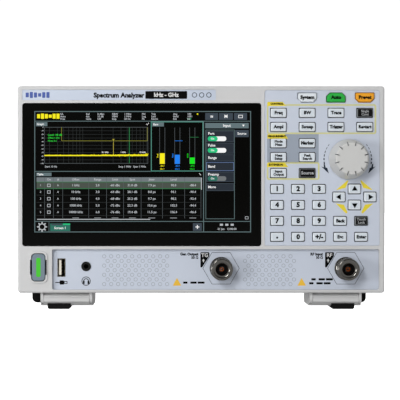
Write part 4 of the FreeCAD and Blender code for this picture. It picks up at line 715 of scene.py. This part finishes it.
def threaded_shell(name, x, z, front, back):
    """Shell with a rounded mouth and a helical 24 threads-per-inch thread."""
    major, minor, pitch = 7.92, 7.3, 25.4 / 24
    steps = 96
    profile = [(6.3, back), (6.3, PORTS_FRONT), (8.2, PORTS_FRONT), (8.3, PORTS_FRONT - 0.2),
               (8.3, PORTS_FRONT - 1.9), (8.0, PORTS_FRONT - 2.2), (7.3, PORTS_FRONT - 2.2),
               (7.3, PORTS_FRONT - 3.0)]
    start, end = front + 2.6, PORTS_FRONT - 3.2
    rows = int((end - start) / pitch * 6)
    thread = [end - (end - start) * row / rows for row in range(rows + 1)]
    lip = [(7.3, front + 2.4), (7.3, front + 1.9), (7.92, front + 1.6), (7.92, front + 1.1)]
    lip += [(7.02 + 0.9 * math.cos(math.radians(turn)), front + 1.0 - 0.95 * math.sin(math.radians(turn)))
            for turn in range(10, 91, 10)]
    lip += [(5.8, front + 0.06)]
    lip += [(5.8 - 1.6 * step / 6, front + 0.06 + 1.1 * (step / 6) ** 1.6) for step in range(1, 7)]
    lip += [(4.12, front + 1.5), (4.12, front + 9.5), (0.0, front + 9.5)]
    mesh = bmesh.new()
    rings = []

    def add_ring(radius_at, y):
        rings.append([
            mesh.verts.new(((x + radius_at(i) * math.cos(2 * math.pi * i / steps)) * MM, y * MM,
                            (z + radius_at(i) * math.sin(2 * math.pi * i / steps)) * MM))
            for i in range(steps)
        ])

    for radius, y in profile:
        add_ring(lambda i, value=radius: value, y)
    for y in thread:
        fade = min(1.0, (y - start) / pitch, (end - y) / pitch)

        def crest(i, y=y, fade=max(0.0, fade)):
            phase = (y / pitch + i / steps) % 1.0
            ridge = 1.0 - abs(2 * phase - 1.0)
            return minor + (major - minor) * fade * min(1.0, max(0.0, 1.5 * ridge - 0.2))

        add_ring(crest, y)
    for radius, y in lip[:-1]:
        add_ring(lambda i, value=radius: value, y)
    for first, second in zip(rings, rings[1:]):
        for i in range(steps):
            j = (i + 1) % steps
            mesh.faces.new((first[i], first[j], second[j], second[i]))
    mesh.faces.new(rings[0])
    mesh.faces.new(rings[-1])
    bmesh.ops.recalc_face_normals(mesh, faces=mesh.faces)
    data = bpy.data.meshes.new(name)
    mesh.to_mesh(data)
    mesh.free()
    smooth(data, 40)
    return new_piece(name, data, NICKEL, "case")


def usb_socket():
    """Folded steel shell, cream tongue and four contacts, in place of the plain CAD socket."""
    low, high = box_mm("usb_socket")
    z = (low[2] + high[2]) / 2
    shell = Prints(high[1], high[1] - low[1])
    shell.band(rounded_loop(low[0], low[2], high[0], high[2], 0.5),
               rounded_loop(low[0] + 0.35, low[2] + 0.35, high[0] - 0.35, high[2] - 0.35, 0.3))
    shell = shell.piece("usb_shell", TIN)
    prism("usb_back", rounded_loop(low[0] + 0.3, low[2] + 0.3, high[0] - 0.3, high[2] - 0.3, 0.3),
          high[1] - 2.0, high[1] - 0.1, BLACK, "case")
    tongue_left = low[0] + 0.35 + 0.6
    prism("usb_tongue", rounded_loop(tongue_left, z - 5.5, tongue_left + 1.85, z + 5.5, 0.15),
          low[1] + 0.9, high[1] - 2.0, CREAM, "case", 0.15, 2)
    contacts = Prints(low[1] + 9.4, 8.0)
    for number in range(4):
        place = z + (number - 1.5) * 2.3
        contacts.box(tongue_left + 1.8, place - 0.5, tongue_left + 2.0, place + 0.5)
    contacts.piece("usb_contacts", COPPER)
    springs = Prints(low[1] + 7.0, 5.0)
    for number in (-1, 1):
        springs.box(high[0] - 1.0, z + number * 3.0 - 0.9, high[0] - 0.4, z + number * 3.0 + 0.9)
    springs.piece("usb_springs", TIN)
    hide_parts("usb_socket")


def power_light():
    """Lit bar on the power button's face, and a dark band painted round the cap as shade in its gap."""
    low, high = box_mm("power_button")
    x, z = (low[0] + high[0]) / 2, (low[2] + high[2]) / 2
    # painted shade: a dark band on the flange darkens the gap round the cap
    painted_gap_shade("power_button", POWER_REACH, POWER_CORNER)
    prism("power_light", rounded_loop(x - 1.6, z - 6.9, x + 1.6, z + 6.9, 1.2), low[1] - 0.12,
          low[1] + 0.2, LIGHT_BAR, "power_button", 0.1, 2)


def rear_prints():
    """Generic words above the rear sockets, on the floor of their bay, turned to face +Y."""
    words = Prints(REAR_BAY_DEPTH - CASE_HIGH[1])
    labels = {"LAN": -20, "DATA": 8, "DC IN": 34, "REF IN": 58, "REF OUT": 82}
    for text, x in labels.items():
        words.words(text, -x, 39.9, 2.1, weight=0.8)
    piece = words.piece("rear_words", INK_SLATE)
    piece.data.transform(Matrix.Rotation(math.pi, 4, "Z"))


# Display contents, laid out from the upper left corner of the lit area, in mm

LIT_WIDTH, LIT_HEIGHT = 156.7, 87.7
LIT_LEFT = (GLASS_LOW[0] + GLASS_HIGH[0]) / 2 - 77.7
LIT_TOP = GLASS_HIGH[2] - 5.7
UI = {}


def ui(colour, layer=0):
    """The print layer of one display colour, made at its first use."""
    key = (colour, layer)
    if key not in UI:
        UI[key] = Prints(GLASS_FRONT - 0.025 * layer, 0.02)
    return UI[key]


SCREEN = {
    "border": (92, 112, 114), "line": (88, 94, 98), "grid": (44, 48, 48), "white": (250, 250, 250),
    "text": (186, 190, 194), "dim": (112, 116, 118), "panel": (60, 70, 80), "head": (112, 120, 124),
    "title": (98, 116, 120), "row": (72, 80, 72), "teal": (34, 196, 126), "dark_teal": (44, 112, 96),
    "edge_teal": (84, 150, 134), "yellow": (252, 240, 16), "dim_yellow": (132, 130, 40),
    "green": (30, 206, 50), "dim_green": (40, 124, 70), "blue": (26, 132, 250), "menu": (36, 43, 52),
    "amber": (200, 186, 60), "bar_green": (10, 236, 24), "pale_blue": (96, 118, 160),
}


def at(u, v):
    """Place on the panel of a point on the display."""
    return LIT_LEFT + u, LIT_TOP - v


def fill(colour, u0, v0, u1, v1, layer=1, radius=0.0):
    """A filled rectangle on the display."""
    left, high = at(u0, v0)
    right, low = at(u1, v1)
    if radius:
        ui(colour, layer).rounded(left, low, right, high, radius)
    else:
        ui(colour, layer).box(left, low, right, high)


def rule(colour, u0, v0, u1, v1, width=0.3, layer=2):
    """A level or upright line on the display."""
    if u0 == u1:
        fill(colour, u0 - width / 2, v0, u0 + width / 2, v1, layer)
    else:
        fill(colour, u0, v0 - width / 2, u1, v0 + width / 2, layer)


def edge(colour, u0, v0, u1, v1, width=0.35, layer=2):
    """The outline of a rectangle on the display."""
    left, high = at(u0, v0)
    right, low = at(u1, v1)
    ui(colour, layer).frame(left, low, right, high, width, 0.02)


def write(colour, text, u, v, size=1.3, align="LEFT", layer=4, turn=0.0):
    """Generic words on the display."""
    x, z = at(u, v)
    ui(colour, layer).words(text, x, z, size, align, weight=0.7, turn=turn)


def screen_header():
    """Border, plain bars and status words along the top."""
    edge("border", 0, 0, LIT_WIDTH, LIT_HEIGHT, 0.6)
    rule("border", 0.6, 7.3, 156.1, 7.3, 0.5)
    for number in range(6):
        tall = 1.9 + 1.9 * abs(math.sin(0.9 * number + 0.6))
        fill("yellow", 2.0 + 2.8 * number, 3.7 - tall / 2, 4.2 + 2.8 * number, 3.7 + tall / 2, 3)
    blocks = (
        (18.8, ("SA", "Auto", "Free")), (37.4, ("Ref", "Att", "Gate")), (45.6, ("0 dBm", "10 dB", "Off")),
        (56.2, ("RBW", "VBW", "Swp")), (65.0, ("1 MHz", "1 MHz", "20 ms")), (77.8, ("PN", "Log", "Pk")),
        (84.6, ("Trig", "Line", "Norm")), (100.4, ("Avg", "Hold", "Ext")), (110.6, ("100", "1001", "Int")),
    )
    for u, lines in blocks:
        for row, text in enumerate(lines):
            write("text", text, u, 2.2 + 1.75 * row, 1.4)
    x, z = at(118.0, 2.1)
    ui("yellow", 4).disc(x, z, 0.55)
    fill("teal", 110.6, 5.4, 113.5, 5.9, 3)
    for u0, u1 in ((123.6, 132.9), (133.6, 143.6), (144.4, 153.8)):
        fill("panel", u0, 1.4, u1, 6.4, 2, 0.3)
    write("white", "≈", 128.3, 3.9, 2.6, "CENTER")
    write("white", "M", 138.6, 3.9, 2.4, "CENTER")
    x, z = at(149.1, 3.9)
    ui("white", 4).frame(x - 1.6, z - 1.1, x + 1.6, z + 1.1, 0.35)


def log_place(value, start=35.0, decade=46.0):
    """Horizontal place of a value on the graph's logarithmic axis."""
    return start + decade * math.log10(value / 10.0)


def trace_panel():
    """Left graph: logarithmic grid, limit box, marker and a noisy flat trace."""
    left, right, top, low = 7.2, 82.2, 11.6, 37.9
    fill("title", 1.2, 8.0, 9.4, 10.9, 1)
    write("white", "Graph", 1.8, 9.5, 1.5)
    for number in range(11):
        v = top + (low - top) * number / 10
        rule("grid", left, v, right, v, 0.22, 1)
        write("text", f"-{number * 10}", left - 0.5, v, 0.95, "RIGHT")
    for value in list(range(3, 10)) + list(range(10, 101, 10)):
        u = log_place(value)
        rule("grid", u, top, u, low, 0.22, 1)
    edge("line", left, top, right, low, 0.25)
    rule("dim_green", 68.7, top, 68.7, low, 0.5, 2)
    rule("dim_yellow", 19.7, 21.5, 81.7, 21.5, 0.35, 3)
    rule("dim_yellow", 19.7, top, 19.7, 21.5, 0.35, 3)
    rule("dim_yellow", 81.7, top, 81.7, 21.5, 0.35, 3)
    rule("amber", 57.2, 22.4, 57.2, 31.6, 0.3, 3)
    write("amber", "T", 57.2, 21.2, 1.8, "CENTER")
    steps = 220
    points = []
    for number in range(steps + 1):
        u = left + (right - left) * number / steps
        spread = 0.25 + 0.55 * number / steps
        v = 32.0 - 0.7 * max(0.0, (u - 60) / 22) ** 2 + random.uniform(-spread, spread)
        points.append(at(u, v))
    ui("yellow", 3).line(points, 0.45)
    fill("yellow", left, 31.7, 60.0, 32.5, 2)
    fill("yellow", 60.0, 31.4, right, 32.5, 2)
    for u, text in ((51.2, "0.1 kHz"), (64.2, "1 kHz"), (78.2, "10 kHz")):
        write("white", text, u, 29.8, 1.15, "CENTER")
    for row, text in enumerate(("Level -98 dB", "Offset 1 kHz", "Noise 0.2")):
        write("green", text, 9.8, 17.3 + 2.1 * row, (1.5, 1.2, 1.2)[row])
    write("text", "Start 10 Hz", 7.6, 40.2, 1.4)
    write("text", "Stop 1 MHz   Span 1 MHz", 60.8, 40.2, 1.4)
    ui("white", 4).line([at(81.0, 9.3), at(81.6, 10.1), at(82.8, 8.5)], 0.35)
    rule("border", 0.6, 43.6, 84.2, 43.6, 0.5)


def bar_panel():
    """Right graph: three level bars in a highlighted frame."""
    edge("edge_teal", 84.3, 7.5, 122.2, 43.6, 0.55)
    fill("title", 85.3, 8.2, 93.7, 11.1, 2)
    write("white", "Bars", 86.0, 9.7, 1.5)
    bars = ((90.6, 30.5, "yellow"), (101.5, 31.6, "blue"), (112.3, 33.6, "bar_green"))
    for number, (u, top, colour) in enumerate(bars):
        rule("line", u, 11.9, u, 38.2, 0.25, 2)
        rule("line", u + 3.8, 11.9, u + 3.8, 38.2, 0.25, 2)
        fill(colour, u + 0.15, top, u + 3.65, 38.2, 2)
        write(colour, ("Peak", "Mean", "Hold")[number], u - 1.4, 32.2, 1.1, "CENTER", turn=-90.0)
        write(colour, ("-42.1", "-43.9", "-47.5")[number], u + 1.9, 39.7, 1.2, "CENTER")
        write(colour, ("Ch 1", "Ch 2", "Ch 3")[number], u + 1.9, 41.9, 1.2, "CENTER")
    rule("blue", 101.6, 21.5, 107.2, 21.5, 0.25, 3)
    rule("dim_green", 112.4, 18.9, 118.8, 18.9, 0.3, 3)


def table_panel():
    """Measurement table with a highlighted first row and its scroll bars."""
    fill("title", 1.4, 44.5, 12.4, 47.0, 1)
    write("white", "Table", 2.0, 45.8, 1.5)
    ui("white", 4).line([at(119.3, 45.0), at(120.4, 46.4)], 0.35)
    fill("head", 1.6, 47.9, 120.5, 51.2, 1)
    fill("row", 1.6, 51.3, 120.5, 56.1, 1)
    columns = (7.4, 13.8, 20.5, 39.3, 52.2, 64.5, 77.2, 92.7, 108.7, 120.5)
    heads = ("", "On", "#", "Offset", "Range", "Limit", "Spot", "Jitter", "Level")
    places = list(zip((1.6,) + columns, columns))
    for (start, end), text in zip(places, heads):
        write("text", text, (start + end) / 2, 49.5, 1.6, "CENTER")
    for u in columns:
        rule("line", u, 47.9, u, 77.6, 0.25, 2)
    rule("dim_green", 1.6, 51.3, 120.5, 51.3, 0.35, 3)
    rule("dim_green", 1.6, 56.1, 120.5, 56.1, 0.4, 3)
    for v in (60.8, 66.0, 70.7, 75.5):
        rule("grid", 1.6, v, 120.5, v, 0.25, 2)
    for row, v in enumerate((53.7, 58.5, 63.4, 68.3, 73.1)):
        edge("text", 9.3, v - 1.15, 11.7, v + 1.15, 0.4, 3)
        write("text", str(row + 1), 4.5, v, 1.4, "CENTER")
        write("text", "A", 17.1, v, 1.4, "CENTER")
        values = (f"{10 ** row} kHz", f"{2 + row}.0", f"-{60 + 4 * row} dBc", f"{31 - row * 3}.{row} dB",
                  f"{7 + row}.{9 - row} ps", f"{90 + row * 4}.{row}", f"-{88 + 2 * row}.4")
        for (start, end), text in zip(places[3:], values):
            write("text", text, (start + end) / 2, v, 1.7, "CENTER")
    for start, end in places[3:]:
        rule("text", (start + end) / 2 - 2.4, 77.3, (start + end) / 2 + 2.4, 77.3, 0.3, 3)
    fill("text", 2.0, 78.0, 83.8, 78.6, 4, 0.25)
    fill("text", 120.5, 48.1, 121.1, 56.9, 4, 0.25)
    rule("border", 0.6, 79.8, 156.1, 79.8, 0.5)


def screen_footer():
    """Gear symbol, active tab and add button along the bottom edge."""
    x, z = at(5.6, 83.7)
    ui("text", 4).ring(x, z, 2.5, 0.7, 24)
    for number in range(8):
        turn = 2 * math.pi * number / 8
        inner = (x + 2.3 * math.cos(turn), z + 2.3 * math.sin(turn))
        outer = (x + 3.6 * math.cos(turn), z + 3.6 * math.sin(turn))
        ui("text", 4).line([inner, outer], 0.9)
    rule("border", 10.6, 80.4, 10.6, 87.2, 0.4)
    fill("dark_teal", 11.5, 81.3, 25.9, 86.8, 2)
    fill("teal", 20.8, 81.3, 25.9, 82.3, 3)
    fill("panel", 12.4, 81.5, 20.2, 82.5, 3)
    write("white", "Screen 1", 18.7, 84.6, 1.8, "CENTER")
    fill("panel", 114.7, 81.0, 121.1, 86.6, 2)
    fill("white", 116.5, 83.5, 119.3, 84.1, 3)
    fill("white", 117.6, 82.4, 118.2, 85.2, 3)


def menu_column():
    """Right-hand touch menu: title, soft keys with toggles, side tab and status line."""
    rule("border", 122.4, 7.4, 122.4, 87.2, 0.6)
    fill("title", 123.6, 8.6, 155.0, 12.4, 2)
    write("white", "Input", 139.2, 10.5, 2.0, "CENTER")
    x, z = at(151.2, 10.5)
    ui("white", 4).shape([(x - 0.9, z + 0.7), (x, z - 0.8), (x + 0.9, z + 0.7)])
    edge("border", 123.8, 13.5, 144.9, 78.1, 0.4)
    items = ((14.4, 22.3, "Port", True, "menu"), (22.9, 30.7, "Pulse", True, "menu"),
             (31.3, 36.3, "Range", False, "menu"), (36.9, 43.3, "Band", False, "blue"),
             (43.9, 51.1, "Preamp", True, "menu"), (52.2, 57.7, "More", False, "menu"))
    for top, low, text, toggle, style in items:
        fill("menu", 124.3, top, 144.3, low, 2)
        edge("pale_blue" if style == "blue" else "panel", 124.3, top, 144.3, low, 0.4, 3)
        write("white", text, 125.6, top + 1.9 if toggle else (top + low) / 2, 1.9)
        if toggle:
            v = low - 2.3
            fill("dark_teal" if text == "Preamp" else "teal", 125.4, v - 1.7, 132.6, v + 1.7, 4, 1.6)
            fill("dim" if text == "Preamp" else "white", 125.6, v - 1.7, 138.8, v + 1.7, 3, 1.6)
            write("white", "On", 128.9, v, 1.4, "CENTER", 5)
    fill("panel", 145.2, 13.7, 155.0, 18.8, 2)
    write("white", "Source", 150.1, 16.3, 1.7, "CENTER")
    edge("text", 152.4, 76.2, 154.8, 78.2, 0.3, 3)
    for number in range(3):
        fill("text", 134.2 + 3.9 * number, 81.5, 136.4 + 3.9 * number, 82.9, 3)
    write("text", "01 Jan   12:00:00", 139.4, 85.3, 1.5, "CENTER")


def display_contents():
    """Everything on the display, as one print for each colour and layer."""
    screen_header()
    trace_panel()
    bar_panel()
    table_panel()
    screen_footer()
    menu_column()
    materials = {name: lit("screen_" + name, srgb(*colour)) for name, colour in SCREEN.items()}
    for (colour, layer), prints in UI.items():
        prints.piece(f"screen_{colour}_{layer}", materials[colour])


# Stage, light and camera

def build_stage():
    """Pale floor just under the tilt legs' lowest reach, and a world that is dimmer in front of the panel."""
    floor_mesh = bpy.data.meshes.new("floor")
    size = 6.0
    floor_mesh.from_pydata([(-size, -size, 0), (size, -size, 0), (size, size, 0), (-size, size, 0)], [],
                           [(0, 1, 2, 3)])
    floor = bpy.data.objects.new("floor", floor_mesh)
    bpy.context.scene.collection.objects.link(floor)
    floor.location.z = -0.0275
    material = surface("floor_paper", srgb(214, 214, 214), 0.9, mottle=0.002, grain=200, bump=0.0)
    shader = material.node_tree.nodes["Principled BSDF"]
    shader.inputs["Emission Color"].default_value = (1, 1, 1, 1)
    shader.inputs["Specular IOR Level"].default_value = 0.0
    path = material.node_tree.nodes.new("ShaderNodeLightPath")
    material.node_tree.links.new(path.outputs["Is Camera Ray"], shader.inputs["Emission Strength"])
    floor_mesh.materials.append(material)

    world = bpy.data.worlds.new("studio")
    bpy.context.scene.world = world
    world.use_nodes = True
    nodes, links = world.node_tree.nodes, world.node_tree.links
    background = nodes["Background"]
    background.inputs["Color"].default_value = (1, 1, 1, 1)
    path = nodes.new("ShaderNodeLightPath")
    place = nodes.new("ShaderNodeTexCoord")
    facing = nodes.new("ShaderNodeVectorMath")
    facing.operation = "DOT_PRODUCT"
    facing.inputs[1].default_value = (0.0, -1.0, 0.0)
    links.new(place.outputs["Generated"], facing.inputs[0])
    room = nodes.new("ShaderNodeMapRange")
    room.inputs["From Min"].default_value = 0.35
    room.inputs["From Max"].default_value = 0.95
    room.inputs["To Min"].default_value = 0.55
    room.inputs["To Max"].default_value = 0.1
    links.new(facing.outputs["Value"], room.inputs["Value"])
    seen = nodes.new("ShaderNodeMix")
    links.new(path.outputs["Is Camera Ray"], seen.inputs["Factor"])
    links.new(room.outputs["Result"], seen.inputs["A"])
    seen.inputs["B"].default_value = 1.05
    links.new(seen.outputs["Result"], background.inputs["Strength"])


def area_light(name, place, target, size, power):
    """A square light aimed at a point."""
    data = bpy.data.lights.new(name, "AREA")
    data.shape = "SQUARE"
    data.size = size
    data.energy = power
    item = bpy.data.objects.new(name, data)
    bpy.context.scene.collection.objects.link(item)
    item.location = place
    item.rotation_euler = (Vector(target) - Vector(place)).to_track_quat("-Z", "Y").to_euler()


def build_lights():
    """Key, fill and low lights in front, and one behind."""
    centre = (0.0, -0.04, 0.08)
    area_light("key", (-0.5, -1.35, 0.62), centre, 0.42, 9.6)
    area_light("fill", (0.8, -1.3, 0.3), centre, 0.9, 0.7)
    area_light("low", (-0.75, -0.72, 0.06), (0.0, -0.04, 0.01), 0.3, 3.4)
    area_light("back", (0.6, 1.3, 0.7), centre, 1.0, 8.0)


def build_camera():
    """A long lens square to the front panel, standing a little left of the instrument's middle."""
    distance = 0.86
    view_width = 0.2892
    camera_x, camera_z = -0.024, 0.084
    centre_x, centre_z = -0.0009, 0.0796
    data = bpy.data.cameras.new("camera")
    data.sensor_width = 36.0
    data.lens = 36.0 * distance / view_width
    data.shift_x = (centre_x - camera_x) / view_width
    data.shift_y = (centre_z - camera_z) / view_width
    data.clip_start = 0.01
    camera = bpy.data.objects.new("camera", data)
    bpy.context.scene.collection.objects.link(camera)
    camera.location = (camera_x, BEZEL_FRONT * MM - distance, camera_z)
    camera.rotation_euler = (math.pi / 2, 0, 0)
    bpy.context.scene.camera = camera


dress_nodes()
key_faces()
keypad_print()
knob_notch_shade()
name_strip()
ports_print()
coaxial_jacks()
usb_socket()
power_light()
rear_prints()
display_contents()
build_stage()
build_lights()
build_camera()
bpy.context.scene.view_settings.view_transform = "Standard"
